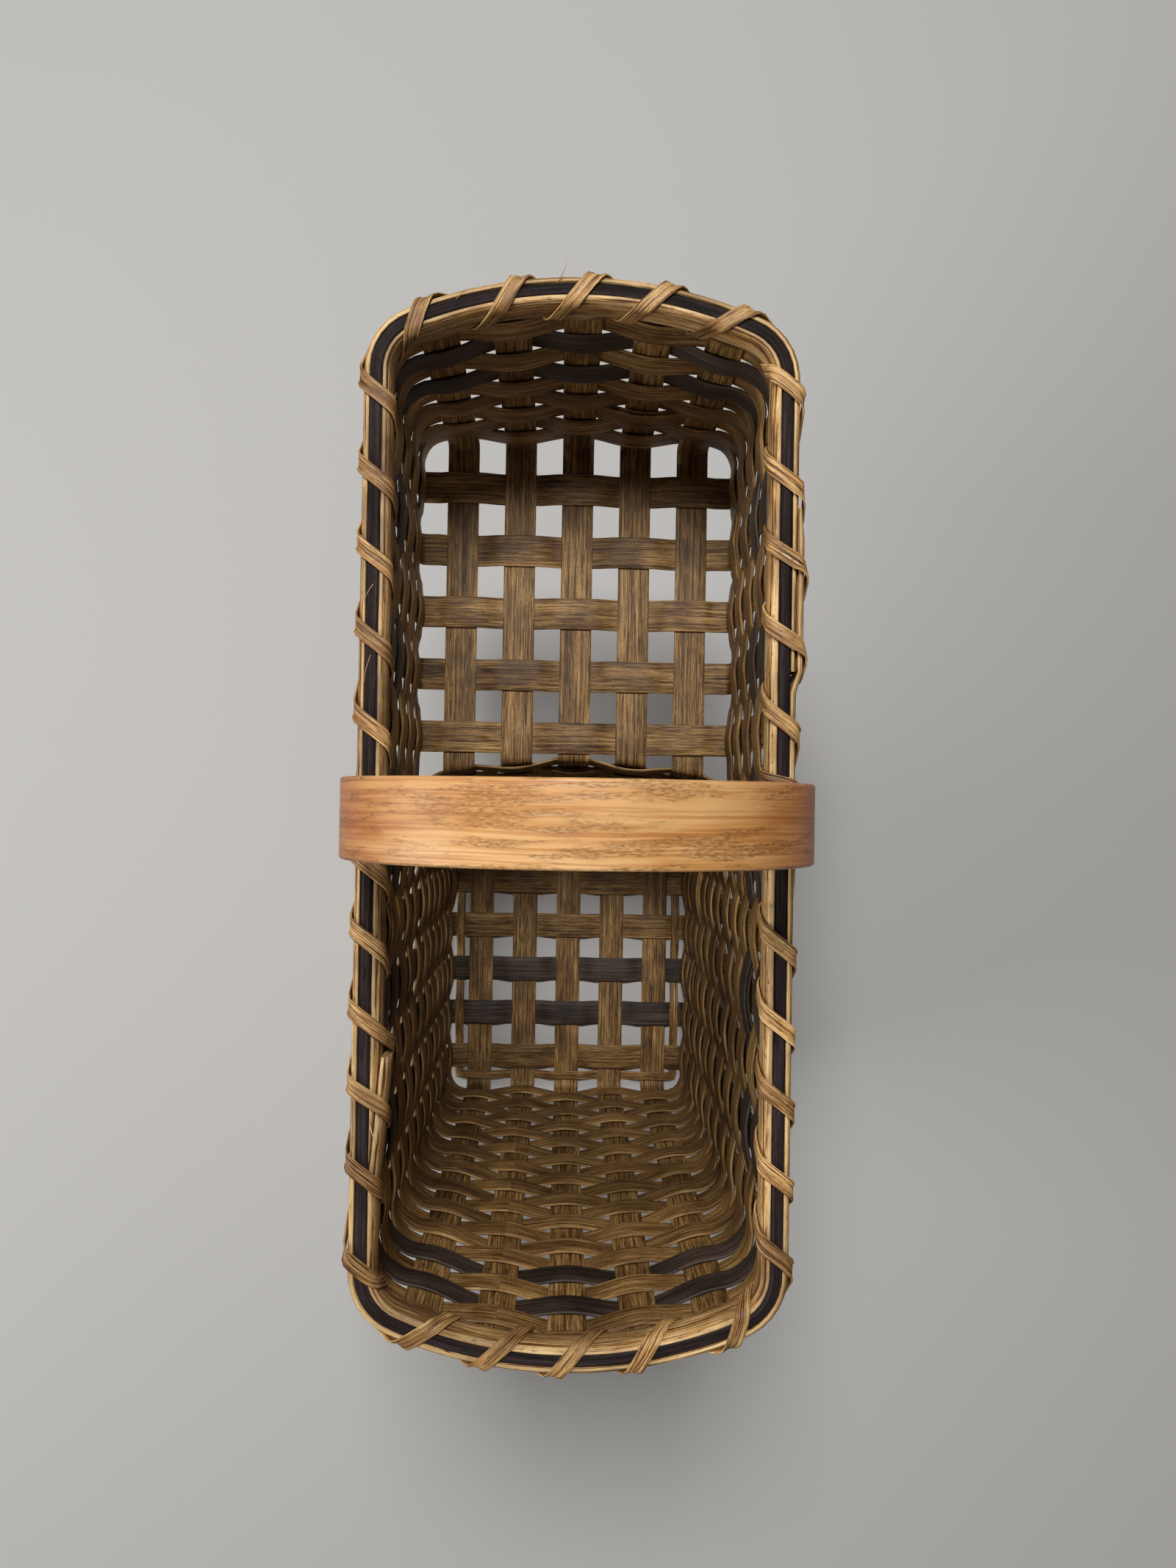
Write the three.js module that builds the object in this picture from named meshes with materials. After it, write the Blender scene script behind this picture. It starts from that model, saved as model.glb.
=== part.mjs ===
// Stair basket: a two-step basket of flat reed that sits on two treads of a stair, with a bent oak handle.
// Millimetres. X is across the stair, +Y points up the stair, Z is up. The lower floor rests at z = 0.
import * as THREE from 'three';

// Reed and clearances
const clearance = 0.3; // air between two pieces that touch in the real basket
const stakeWidth = 15.9;
const stakeThick = 1.1;
const weaverWidth = 12.7;
const weaverThick = 1.0;
const lockWidth = 5.5; // narrow reed woven flat round the edge of the lower floor
const lockThick = 1.0;

// Stakes
const longCount = 5; // run the length of the basket, down both end walls
const longPitch = 29.2;
const lowerCrossCount = 6; // run across the lower compartment and up its side walls
const lowerCrossPitch = 29.4;
const upperCrossCount = 5;
const upperCrossPitch = 31.75;
const upperDrawIn = 1.5; // how far the last upper cross stake leans back towards the handle at the rim
const edgeEase = 0.4; // a strip runs flat this far past the edge of the stake that it crosses
const darkLowerCross = [3, 4]; // dyed cross stakes, counted from the handle

// Walls
const lowerRowCount = 14;
const upperRowCount = 9;
const darkUpperRows = [6, 8];
const riserRowGap = 0.52; // between rows, where they are packed tightest
const shallowRowGap = 1.06;
const sideLean = 1.5; // outward lean of each wall from its foot to the rim
const frontLean = 21;
const shallowLean = 17;
const riserLean = 24.9; // the riser leans back under the upper floor
const footBow = 1 / 2000; // curvature of the end walls in plan, at the foot and at the rim
const shallowFootBow = 1 / 1250;
const riserTopBow = 1 / 300;
const rimBow = 1 / 171;

// Bends of the stakes, measured to the middle of their thickness
const endBend = 5;
const sideBend = 3.2;
const shallowBend = 4;
const riserTopBend = 3;
const bendSteps = 3;
const wallSteps = 8; // places of a long stake on a tall end wall
const riserSteps = 4;

// Room between neighbours on the floors
const lockGap = 1.8; // last cross stake to lock row
const footRun = 6.05; // lock row to end wall
const sideLockGap = 3.15; // last long stake to lock row
const sideFootRun = 3.5; // lock row to side wall
const riserTopRun = 3.35; // riser to first upper cross stake
const shallowRun = 15.65; // last upper cross stake to shallow end wall, room for the corner
const cornerStart = 0.85; // the corner begins this far past the edge of the last long stake
const floorFlatGap = 0.2; // lock row to the place where a cross stake begins to weave

// Room between the rows and what is above or below them
const footRowGap = 0.25; // bend of the end walls to the first row
const riserTopGap = 1.1; // last row of the riser to the bend above it
const upperFootGap = 1.25; // bend of the shallow end to the first upper row
const frontUpperRise = 4; // upper floor to the first upper row at the front, where no floor is in the way
const frontRowGap = 0.8;
const rimRowGap = 0.8; // filler to the row hidden between the rims

// Rim
const rimHeight = 14.5;
const outerRimThick = 2.8;
const innerRimThick = 3.8;
const rimSeat = 2.6; // rim face to the middle of the wall
const rimChamfer = 0.9;
const chamferShare = 0.35; // most of a thin rim's thickness that its chamfer takes
const rimRowWidth = 8.2; // narrow row hidden between the rims
const fillerWidth = 4.6;
const fillerHeight = 3.6;
const fillerGap = 0.4; // filler to the stakes below it and to the tails of the handle
const fillerFlat = 0.28; // half of the flat on the oval filler, as a share of its width
const outerSpliceLength = 64;
const innerSpliceLength = 40;
const spliceTip = 0.7;
const outerSpliceY = 59.5; // covered end of the outer rim, on the right side
const innerSpliceY = -131.5; // covered end of the inner rim, on the left side
const lasherWidth = 5.6;
const lasherThick = 0.8;
const lasherGap = 0.45; // lashing to rim, more than the clearance because the rim is curved
const lasherTurnRun = 3; // advance of the lashing while it passes under the rims
const lasherRiseRun = 8; // advance up the inner rim
const lasherCrossRun = 10; // advance over the top
const lasherLegGap = 1.2; // lashing to the legs of the handle
const lasherTuck = 1; // the ends of the lashing are tucked in this far from the middle of the wall

// Handle
const handleWidth = 27.5;
const handleThick = 6.5;
const handleChamfer = 1.4;
const tailWidth = 18;
const tailThick = 2;
const tailTipWidth = 12;
const tailTipRun = 12; // length over which the tail widens from its tip
const tailLength = 92; // how far the tail is tucked into the wall below the rim
const tailGap = 2.15; // tail to the nearest lower cross stake
const legHeight = 46; // rim to the start of the arch
const legInset = 2; // how far the legs lean in at the start of the arch
const archRise = 59;
const shoulderRise = 20; // length over which the leg narrows to the tail
const shoulderGap = 1.2; // rim to the start of the shoulder
const ledgeRise = 2.2; // length over which the tail thickens above the rim
const ledgeWidening = 1.5;
const shoulderEase = 1; // how much the shoulder falls short of the leg at its two ends
const archSteps = 14;
const handleChamferShare = 0.3;

// Heights that follow from the rows
const halfStake = stakeWidth / 2;
const flatHalf = halfStake + edgeEase;
const floorMid = stakeThick * 1.5 + clearance; // middle of the flat stakes above the underside of a floor
const floorStep = stakeThick + clearance; // a cross stake passes this far under or over the flat ones
const footTop = floorMid + endBend + footRowGap; // lowest edge of the first row
const riserPitch = weaverWidth + riserRowGap;
const riserRowsTop = footTop + lowerRowCount * riserPitch - riserRowGap;
const stepHeight = riserRowsTop + riserTopGap + riserTopBend - floorMid;
const stepMid = stepHeight + floorMid;
const upperFootTop = stepMid + shallowBend + upperFootGap;
const shallowPitch = weaverWidth + shallowRowGap;
const upperRowsTop = upperFootTop + upperRowCount * shallowPitch - shallowRowGap;
const rimBottom = upperRowsTop + lasherThick + lasherGap + clearance;
const rimTop = rimBottom + rimHeight;
const rimMid = (rimTop + rimBottom) / 2;
const frontUpperFoot = stepHeight + frontUpperRise;
const fillerMid = rimTop - fillerHeight / 2;
const stakeTop = rimTop - fillerHeight - fillerGap;

// Places across and along the basket
const lastLongEdge = longPitch * (longCount - 1) / 2 + halfStake;
const cornerX = lastLongEdge + cornerStart;
const lockX = lastLongEdge + sideLockGap + lockWidth / 2;
const sideFootX = lockX + lockWidth / 2 + sideFootRun;
const crossToFoot = halfStake + lockGap + lockWidth + footRun;
const lowerLength = (lowerCrossCount - 1) * lowerCrossPitch + 2 * crossToFoot;
const riserTopAhead = riserLean + riserTopRun + halfStake;
const upperLength = (upperCrossCount - 1) * upperCrossPitch + halfStake + shallowRun;
const rimLength = frontLean + lowerLength + riserTopAhead + upperLength + shallowLean;
const frontFootY = frontLean - rimLength / 2;
const riserFootY = frontFootY + lowerLength;
const firstLowerY = riserFootY - crossToFoot; // nearest the handle
const firstUpperY = riserFootY + riserTopAhead;
const lastUpperY = firstUpperY + (upperCrossCount - 1) * upperCrossPitch;
const shallowFootY = lastUpperY + halfStake + shallowRun;
const handleY = firstLowerY + halfStake + tailGap + tailWidth / 2;

const lerp = THREE.MathUtils.lerp;

// The three end walls. Each bows outwards in plan and leans, and faces along +Y or -Y.
const front = {
  face: -1, low: 0, high: rimTop, footY: frontFootY, topY: frontFootY - frontLean,
  footBow, topBow: rimBow,
};
const riser = {
  face: 1, low: 0, high: stepHeight, footY: riserFootY, topY: riserFootY + riserLean,
  footBow, topBow: riserTopBow,
};
const shallow = {
  face: 1, low: stepHeight, high: rimTop, footY: shallowFootY, topY: shallowFootY + shallowLean,
  footBow: shallowFootBow, topBow: rimBow,
};

function endAt(end, z) {
  const t = (z - end.low) / (end.high - end.low);
  return { y: lerp(end.footY, end.topY, t), radius: 1 / lerp(end.footBow, end.topBow, t) };
}

const sideX = (z) => sideFootX + sideLean * z / rimTop;

// A place on the wall is a function of the height and of the distance out from the middle of the wall.
function onEnd(end, x, run = 0) {
  return (z, out) => {
    const { y, radius } = endAt(end, z);
    const angle = Math.asin(x / radius) + run / radius;
    const reach = radius + out;
    return new THREE.Vector3(reach * Math.sin(angle), y + end.face * (reach * Math.cos(angle) - radius), z);
  };
}

function cornerAt(end, z) {
  const { y, radius } = endAt(end, z);
  const angle = Math.asin(cornerX / radius);
  const bend = (sideX(z) - cornerX) / (1 - Math.sin(angle));
  const centreY = y - end.face * (radius - (radius - bend) * Math.cos(angle));
  return { angle, bend, centreX: sideX(z) - bend, centreY };
}

function onCorner(end, side, t) {
  return (z, out) => {
    const { angle, bend, centreX, centreY } = cornerAt(end, z);
    const turn = lerp(angle, Math.PI / 2, t);
    const reach = bend + out;
    return new THREE.Vector3(
      side * (centreX + reach * Math.sin(turn)),
      centreY + end.face * reach * Math.cos(turn),
      z,
    );
  };
}

const onSide = (side, yAt) => (z, out) => new THREE.Vector3(side * (sideX(z) + out), yAt(z), z);

// Places of the stakes
const longX = (i) => (i - (longCount - 1) / 2) * longPitch;
const lowerCrossY = (i) => firstLowerY - i * lowerCrossPitch;
const upperCrossY = (i, z) => {
  const drawn = upperDrawIn * i / (upperCrossCount - 1);
  return firstUpperY + i * upperCrossPitch - drawn * (z - stepHeight) / (rimTop - stepHeight);
};

// Closes a list of rings of corner points into one solid with its faces pointing out.
function solid(rings, closed) {
  const size = rings[0].length;
  const points = rings.flat();
  const triangles = [];
  const steps = closed ? rings.length : rings.length - 1;
  for (let step = 0; step < steps; step += 1) {
    const here = step * size;
    const next = ((step + 1) % rings.length) * size;
    for (let corner = 0; corner < size; corner += 1) {
      const other = (corner + 1) % size;
      triangles.push([here + corner, here + other, next + other]);
      triangles.push([here + corner, next + other, next + corner]);
    }
  }
  if (!closed) {
    const last = (rings.length - 1) * size;
    for (let corner = 1; corner < size - 1; corner += 1) {
      triangles.push([0, corner + 1, corner], [last, last + corner, last + corner + 1]);
    }
  }
  const volume = triangles.reduce((sum, [a, b, c]) => (
    sum + points[a].dot(new THREE.Vector3().crossVectors(points[b], points[c]))
  ), 0);
  const facing = volume > 0 ? triangles : triangles.map(([a, b, c]) => [a, c, b]);
  const geometry = new THREE.BufferGeometry().setFromPoints(points);
  geometry.setIndex(facing.flat());
  return geometry;
}

// Carries a flat section along a path of { point, across } places, mitred at each bend.
// sectionAt gives the corners at a place as pairs: along the across direction, and square to the strip.
function sweep(path, sectionAt, closed = false) {
  const count = path.length;
  const rings = path.map(({ point, across }, i) => {
    const before = path[closed ? (i + count - 1) % count : Math.max(i - 1, 0)].point;
    const after = path[closed ? (i + 1) % count : Math.min(i + 1, count - 1)].point;
    const arriving = point.clone().sub(before).normalize();
    const leaving = after.clone().sub(point).normalize();
    const travel = arriving.clone().add(leaving).normalize();
    const square = new THREE.Vector3().crossVectors(travel, across).normalize();
    const mitre = 1 / Math.max(travel.dot(leaving), travel.dot(arriving));
    return sectionAt(i).map(([u, v]) => (
      point.clone().addScaledVector(across, u).addScaledVector(square, v * mitre)
    ));
  });
  return solid(rings, closed);
}

const flatSection = (width, thick) => [
  [-width / 2, -thick / 2], [width / 2, -thick / 2], [width / 2, thick / 2], [-width / 2, thick / 2],
];

// Stakes
const place = (x, y, z, across) => ({ point: new THREE.Vector3(x, y, z), across });
const acrossX = new THREE.Vector3(1, 0, 0);
const acrossY = new THREE.Vector3(0, 1, 0);

// The places of a long stake on an end wall, between two heights.
function climb(end, x, fromZ, toZ, steps) {
  return Array.from({ length: steps + 1 }, (_, i) => {
    const z = lerp(fromZ, toZ, i / steps);
    const { radius } = endAt(end, z);
    const angle = Math.asin(x / radius);
    const across = new THREE.Vector3(Math.cos(angle), -end.face * Math.sin(angle), 0);
    return { point: onEnd(end, x)(z, -halfStake * halfStake / radius / 2), across };
  });
}

// The bend between a wall place and a flat floor: inward is the direction of the floor from the wall,
// and rise is 1 where the wall stands up from the floor and -1 where it hangs below it.
function floorBend(wallPlace, inward, rise, bend) {
  const { x, y, z } = wallPlace.point;
  return Array.from({ length: bendSteps }, (_, i) => {
    const share = (i + 1) / bendSteps;
    const turn = share * Math.PI / 2;
    return place(
      x,
      y + inward * bend * (1 - Math.cos(turn)),
      z - rise * bend * Math.sin(turn),
      wallPlace.across.clone().lerp(acrossX, share).normalize(),
    );
  });
}

function longStake(x) {
  const backWall = climb(shallow, x, stakeTop, stepMid + shallowBend, wallSteps);
  const riserWall = climb(riser, x, stepMid - riserTopBend, floorMid + endBend, riserSteps);
  const frontWall = climb(front, x, floorMid + endBend, stakeTop, wallSteps);
  return sweep([
    ...backWall, ...floorBend(backWall.at(-1), -1, 1, shallowBend),
    ...floorBend(riserWall[0], 1, -1, riserTopBend).reverse(),
    ...riserWall, ...floorBend(riserWall.at(-1), -1, 1, endBend),
    ...floorBend(frontWall[0], 1, 1, endBend).reverse(), ...frontWall,
  ], () => flatSection(stakeWidth, stakeThick));
}

// A cross stake goes over the long stakes whose number has the parity of overFrom, and under the others.
function crossStake(yAt, floorZ, overFrom) {
  const mid = floorZ + floorMid;
  const y = yAt(floorZ);
  const foot = sideX(mid + sideBend);
  const topX = foot + sideLean * (stakeTop - mid - sideBend) / rimTop;
  const half = [place(topX, yAt(stakeTop), stakeTop, acrossY)];
  for (let i = 0; i <= bendSteps; i += 1) {
    const turn = i / bendSteps * Math.PI / 2;
    half.push(place(
      foot - sideBend * (1 - Math.cos(turn)), y, mid + sideBend * (1 - Math.sin(turn)), acrossY,
    ));
  }
  half.push(place(lockX - lockWidth / 2 - floorFlatGap, y, mid, acrossY));
  const mirrored = half.map(({ point }) => place(-point.x, point.y, point.z, acrossY));
  const crossings = Array.from({ length: longCount }, (_, i) => {
    const level = mid + (i % 2 === overFrom ? floorStep : -floorStep);
    return [-1, 1].map((edge) => place(longX(i) + edge * flatHalf, y, level, acrossY));
  }).flat();
  return sweep([...mirrored, ...crossings, ...half.reverse()], () => flatSection(stakeWidth, stakeThick));
}

// The lock row lies flat round the edge of the lower floor, over the even stakes and under the rest.
function lockRow() {
  const backY = riserFootY - footRun - lockWidth / 2;
  const frontY = frontFootY + footRun + lockWidth / 2;
  const lift = stakeThick / 2 + clearance + lockThick / 2;
  const outX = new THREE.Vector3(1, 0, 0);
  const outY = new THREE.Vector3(0, 1, 0);
  const path = [];
  const corner = (side, face, y) => path.push(
    place(side * lockX, y, floorMid, new THREE.Vector3(side, face, 0)),
  );
  const crossing = (index, x, y, across, along) => [-1, 1].forEach((edge) => {
    const level = floorMid + (index % 2 === 0 ? lift : -lift);
    path.push({ point: new THREE.Vector3(x, y, level).addScaledVector(along, edge * flatHalf), across });
  });
  for (let i = 0; i < longCount; i += 1) crossing(i, longX(i), frontY, outY.clone().negate(), outX);
  corner(1, -1, frontY);
  for (let i = lowerCrossCount - 1; i >= 0; i -= 1) crossing(i, lockX, lowerCrossY(i), outX, outY);
  corner(1, 1, backY);
  for (let i = longCount - 1; i >= 0; i -= 1) {
    crossing(i + 1, longX(i), backY, outY, outX.clone().negate());
  }
  corner(-1, 1, backY);
  for (let i = 0; i < lowerCrossCount; i += 1) {
    crossing(i, -lockX, lowerCrossY(i), outX.clone().negate(), outY.clone().negate());
  }
  corner(-1, -1, frontY);
  return sweep(path, () => flatSection(lockWidth, lockThick), true);
}

// Weaver rows. A crossing is one stake that a row passes: where its edges are, and how thick it is.
const rowCornerSteps = [1 / 3, 2 / 3];
const rimCornerSteps = [0, 1 / 3, 2 / 3, 1];

function endCrossings(end, rightToLeft) {
  const order = Array.from({ length: longCount }, (_, i) => (rightToLeft ? longCount - 1 - i : i));
  const heading = rightToLeft ? -1 : 1;
  return order.map((i) => ({
    places: [-1, 1].map((edge) => onEnd(end, longX(i), edge * heading * flatHalf)), thick: stakeThick,
  }));
}

const sideCrossing = (side, yAt, half, thick, heading, joined = false) => ({
  places: [-1, 1].map((edge) => onSide(side, (z) => yAt(z) + edge * heading * half)), thick, joined,
});

// The crossings of one side wall in the order in which a row meets them, from front to back.
function sideCrossings(side, upper, withTail) {
  const lowerStakes = Array.from({ length: lowerCrossCount }, (_, i) => lowerCrossCount - 1 - i);
  const crossings = lowerStakes.map((i) => (
    sideCrossing(side, () => lowerCrossY(i), flatHalf, stakeThick, 1)
  ));
  if (withTail) {
    crossings.push(sideCrossing(side, () => handleY, tailWidth / 2 + edgeEase, tailThick, 1, true));
  }
  if (upper) {
    for (let i = 0; i < upperCrossCount; i += 1) {
      crossings.push(sideCrossing(side, (z) => upperCrossY(i, z), flatHalf, stakeThick, 1));
    }
  }
  return crossings;
}

const backwards = (crossings) => [...crossings].reverse().map((crossing, i, all) => ({
  places: [...crossing.places].reverse(),
  thick: crossing.thick,
  joined: i > 0 && all[i - 1].joined ? false : crossing.joined,
}));

// One closed row. The first crossing is passed on the inside if startInside; the sides then alternate, and a
// handle tail is passed on the same side as the lower cross stake beside it.
function row({ far, upper, withTail, lowFront, lowFar, width, startInside, cornerSteps = rowCornerSteps }) {
  const groups = [
    endCrossings(front, false), sideCrossings(1, upper, withTail),
    endCrossings(far, true), backwards(sideCrossings(-1, upper, withTail)),
  ];
  const frontY = frontFootY;
  const farY = far.footY;
  const rings = [];
  let inside = startInside;
  const addRing = (placeOnWall, out) => {
    const { y } = placeOnWall(lowFront, 0);
    const low = lerp(lowFront, lowFar, (y - frontY) / (farY - frontY));
    const near = out - weaverThick / 2;
    const wide = out + weaverThick / 2;
    rings.push([
      placeOnWall(low, near), placeOnWall(low, wide),
      placeOnWall(low + width, wide), placeOnWall(low + width, near),
    ]);
  };
  const offset = (thick) => (inside ? -1 : 1) * (thick / 2 + clearance + weaverThick / 2);
  groups.forEach((group, g) => {
    const leftSide = g === 3;
    group.forEach(({ places, thick, joined }, i) => {
      const followsStake = joined && !leftSide;
      const leadsStake = joined && leftSide;
      if (followsStake) inside = !inside;
      places.forEach((placeOnWall) => addRing(placeOnWall, offset(thick)));
      if (!leadsStake) inside = !inside;
    });
    const leaving = -offset(stakeThick);
    const end = g === 0 || g === 3 ? front : far;
    const side = g < 2 ? 1 : -1;
    const outOfEnd = g % 2 === 0;
    cornerSteps.forEach((t) => {
      addRing(onCorner(end, side, outOfEnd ? t : 1 - t), lerp(leaving, -leaving, t));
    });
  });
  return solid(rings, true);
}

function lowerRow(k) {
  const frontPitch = (frontUpperFoot - frontRowGap - footTop - weaverWidth) / (lowerRowCount - 1);
  return row({
    far: riser, upper: false, withTail: false,
    lowFront: footTop + k * frontPitch, lowFar: footTop + k * riserPitch,
    width: weaverWidth, startInside: k % 2 === 1,
  });
}

function upperRow(k) {
  const isRimRow = k === upperRowCount;
  const frontPitch = (upperRowsTop - frontUpperFoot - weaverWidth) / (upperRowCount - 1);
  const rimRowLow = fillerMid - fillerHeight / 2 - rimRowWidth - rimRowGap;
  const lowFront = isRimRow ? rimRowLow : frontUpperFoot + k * frontPitch;
  const lowFar = isRimRow ? rimRowLow : upperFootTop + k * shallowPitch;
  return row({
    far: shallow, upper: true, withTail: lowFront + weaverWidth > rimTop - tailLength - rimHeight,
    lowFront, lowFar, width: isRimRow ? rimRowWidth : weaverWidth, startInside: k % 2 === 1,
    cornerSteps: isRimRow ? rimCornerSteps : rowCornerSteps,
  });
}

// The rim line: the middle of the wall at rim height as one path, measured in mm anticlockwise from the
// middle of the front.
function rimLine() {
  const pieces = [];
  const endHalf = (end) => Math.asin(cornerX / endAt(end, rimMid).radius) * endAt(end, rimMid).radius;
  const cornerLength = (end) => {
    const { angle, bend } = cornerAt(end, rimMid);
    return (Math.PI / 2 - angle) * bend;
  };
  const frontY = cornerAt(front, rimMid).centreY;
  const backY = cornerAt(shallow, rimMid).centreY;
  const add = (length, at) => pieces.push({ length, at });
  add(endHalf(front), (run) => onEnd(front, 0, run));
  add(cornerLength(front), (run) => onCorner(front, 1, run / cornerLength(front)));
  add(backY - frontY, (run) => onSide(1, () => frontY + run));
  add(cornerLength(shallow), (run) => onCorner(shallow, 1, 1 - run / cornerLength(shallow)));
  add(2 * endHalf(shallow), (run) => onEnd(shallow, 0, endHalf(shallow) - run));
  add(cornerLength(shallow), (run) => onCorner(shallow, -1, run / cornerLength(shallow)));
  add(backY - frontY, (run) => onSide(-1, () => backY - run));
  add(cornerLength(front), (run) => onCorner(front, -1, 1 - run / cornerLength(front)));
  add(endHalf(front), (run) => onEnd(front, 0, run - endHalf(front)));
  let start = 0;
  pieces.forEach((piece) => {
    piece.start = start;
    start += piece.length;
  });
  return { pieces, length: start, frontY, backY };
}

const line = rimLine();

function along(distance) {
  const wrapped = THREE.MathUtils.euclideanModulo(distance, line.length);
  const piece = line.pieces.findLast(({ start }) => start <= wrapped);
  return piece.at(wrapped - piece.start);
}

// Distances along the rim line of a place on each wall
const atRight = (y) => line.pieces[2].start + y - line.frontY;
const atLeft = (y) => line.pieces[6].start + line.backY - y;
const atFront = (x) => {
  const { radius } = endAt(front, rimMid);
  return THREE.MathUtils.euclideanModulo(Math.asin(x / radius) * radius, line.length);
};
const atShallow = (x) => {
  const { radius } = endAt(shallow, rimMid);
  return line.pieces[4].start + line.pieces[4].length / 2 - Math.asin(x / radius) * radius;
};

// Distances where the rims turn: both edges of each long stake, and the steps of the corners.
function rimTurns() {
  const turns = [];
  for (let i = 0; i < longCount; i += 1) {
    [-flatHalf, flatHalf].forEach((edge) => {
      turns.push(atFront(longX(i)) + edge, atShallow(longX(i)) + edge);
    });
  }
  [1, 3, 5, 7].forEach((piece) => {
    const { start, length } = line.pieces[piece];
    rimCornerSteps.forEach((t) => turns.push(start + t * length));
  });
  return turns.map((turn) => THREE.MathUtils.euclideanModulo(turn, line.length)).sort((a, b) => a - b);
}

// The turns that lie between two distances, which may run past the start of the line.
function turnsBetween(from, to) {
  const turns = rimTurns();
  return [...turns, ...turns.map((turn) => turn + line.length)].filter((turn) => turn > from && turn < to);
}

// Distance from the middle of the wall to the broad face of a rim: face is 1 outside and -1 inside.
const rimReach = (face) => rimSeat + (face > 0 ? outerRimThick : innerRimThick);

// One rim strip. It starts with a thin end that the strip's other end covers, in a flush scarf.
// Way is 1 where it runs anticlockwise from there, seen from above, and -1 the other way.
function rimStrip(face, spliceAt, spliceLength, way) {
  const fullOut = rimReach(face);
  const thickEnd = fullOut - rimSeat - spliceTip - clearance;
  const layer = (run, near, far) => {
    const cut = Math.min(rimChamfer, (far - near) * chamferShare);
    const corner = (z, out) => along(spliceAt + way * run)(z, face * out);
    return [
      corner(rimBottom, near), corner(rimBottom, far - cut), corner(rimBottom + cut, far),
      corner(rimTop - cut, far), corner(rimTop, far - cut), corner(rimTop, near),
    ];
  };
  const bare = spliceLength + edgeEase;
  const runs = rimTurns()
    .map((turn) => THREE.MathUtils.euclideanModulo(way * (turn - spliceAt), line.length))
    .filter((run) => run > bare && run < line.length - edgeEase)
    .sort((a, b) => a - b);
  return solid([
    layer(0, rimSeat, rimSeat + spliceTip),
    layer(spliceLength, rimSeat, rimSeat + thickEnd),
    layer(bare, rimSeat, fullOut),
    ...runs.map((run) => layer(run, rimSeat, fullOut)),
    layer(line.length - edgeEase, rimSeat, fullOut),
    layer(line.length, rimSeat + spliceTip + clearance, fullOut),
    layer(line.length + spliceLength - clearance, rimSeat + thickEnd + clearance, fullOut),
  ], false);
}

// The filler fills the top of the gap between the rims, from one side of the handle to the other.
function filler(from, to) {
  const oval = [
    [-0.5, 0], [-fillerFlat, 0.5], [fillerFlat, 0.5], [0.5, 0], [fillerFlat, -0.5], [-fillerFlat, -0.5],
  ];
  const ring = (distance) => oval.map(([out, up]) => (
    along(distance)(fillerMid + up * fillerHeight, out * fillerWidth)
  ));
  return solid([from, ...turnsBetween(from, to), to].map(ring), false);
}

// The lashing passes once through each gap between stakes, below the rims, and runs clockwise.
function lashing() {
  const tailEdge = handleY + tailWidth / 2;
  const upperY = (i) => upperCrossY(i, rimMid);
  const middles = (count, at) => Array.from({ length: count - 1 }, (_, i) => (at(i) + at(i + 1)) / 2);
  const sideGaps = [
    ...middles(lowerCrossCount, lowerCrossY), (tailEdge + upperY(0) - halfStake) / 2,
    ...middles(upperCrossCount, upperY),
  ];
  const endGaps = middles(longCount, longX);
  const cornerGaps = [1, 3, 5, 7].map((piece) => {
    const { start, length } = line.pieces[piece];
    return start + length / 2;
  });
  const gaps = [
    ...sideGaps.flatMap((y) => [atRight(y), atLeft(y)]),
    ...endGaps.flatMap((x) => [atFront(x), atShallow(x)]), ...cornerGaps,
  ].sort((a, b) => b - a);
  const near = (face) => rimReach(face) + lasherGap;
  const wide = (face) => near(face) + lasherThick;
  const acrossTop = near(1) + near(-1);
  const underTop = rimBottom - lasherGap;
  const overLow = rimTop + lasherGap;
  const ring = (distance, face, top, slant) => {
    const half = lasherWidth / 2 / Math.cos(slant);
    const insideZ = top ? overLow : underTop;
    const outsideZ = top ? overLow + lasherThick : underTop - lasherThick;
    return [
      along(distance - half)(insideZ, face * near(face)),
      along(distance + half)(insideZ, face * near(face)),
      along(distance + half)(outsideZ, face * wide(face)),
      along(distance - half)(outsideZ, face * wide(face)),
    ];
  };
  const flatRing = (distance, out) => {
    const half = lasherWidth / 2;
    const underLow = underTop - lasherThick;
    return [
      along(distance - half)(underTop, out), along(distance + half)(underTop, out),
      along(distance + half)(underLow, out), along(distance - half)(underLow, out),
    ];
  };
  const legs = [atRight(handleY + tailWidth / 2), atLeft(handleY - tailWidth / 2)];
  const usualRun = lasherRiseRun + lasherCrossRun + lasherTurnRun / 2;
  const rings = [flatRing(gaps[0], -lasherTuck)];
  gaps.forEach((gap, i) => {
    const next = i + 1 < gaps.length ? gaps[i + 1] : gaps[0] - line.length;
    const leg = legs.find((edge) => edge < gap && edge > next);
    const legRoom = leg === undefined ? Infinity : gap - leg - lasherWidth / 2 - lasherLegGap;
    const room = Math.min(gap - next - lasherTurnRun, legRoom);
    const share = Math.min(1, (room - lasherTurnRun / 2) / (usualRun - lasherTurnRun / 2));
    const turned = gap - lasherTurnRun / 2;
    const risen = turned - lasherRiseRun * share;
    const crossed = risen - lasherCrossRun * share;
    const slant = Math.atan(lasherCrossRun * share / acrossTop) / 2;
    const lowSlant = Math.atan(lasherTurnRun / acrossTop);
    rings.push(
      ring(turned, -1, false, lowSlant), ring(risen, -1, true, slant),
      ring(crossed, 1, true, slant), ring(next + lasherTurnRun / 2, 1, false, lowSlant),
    );
  });
  rings.push(flatRing(gaps[0] - line.length, lasherTuck));
  return solid(rings, false);
}

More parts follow.
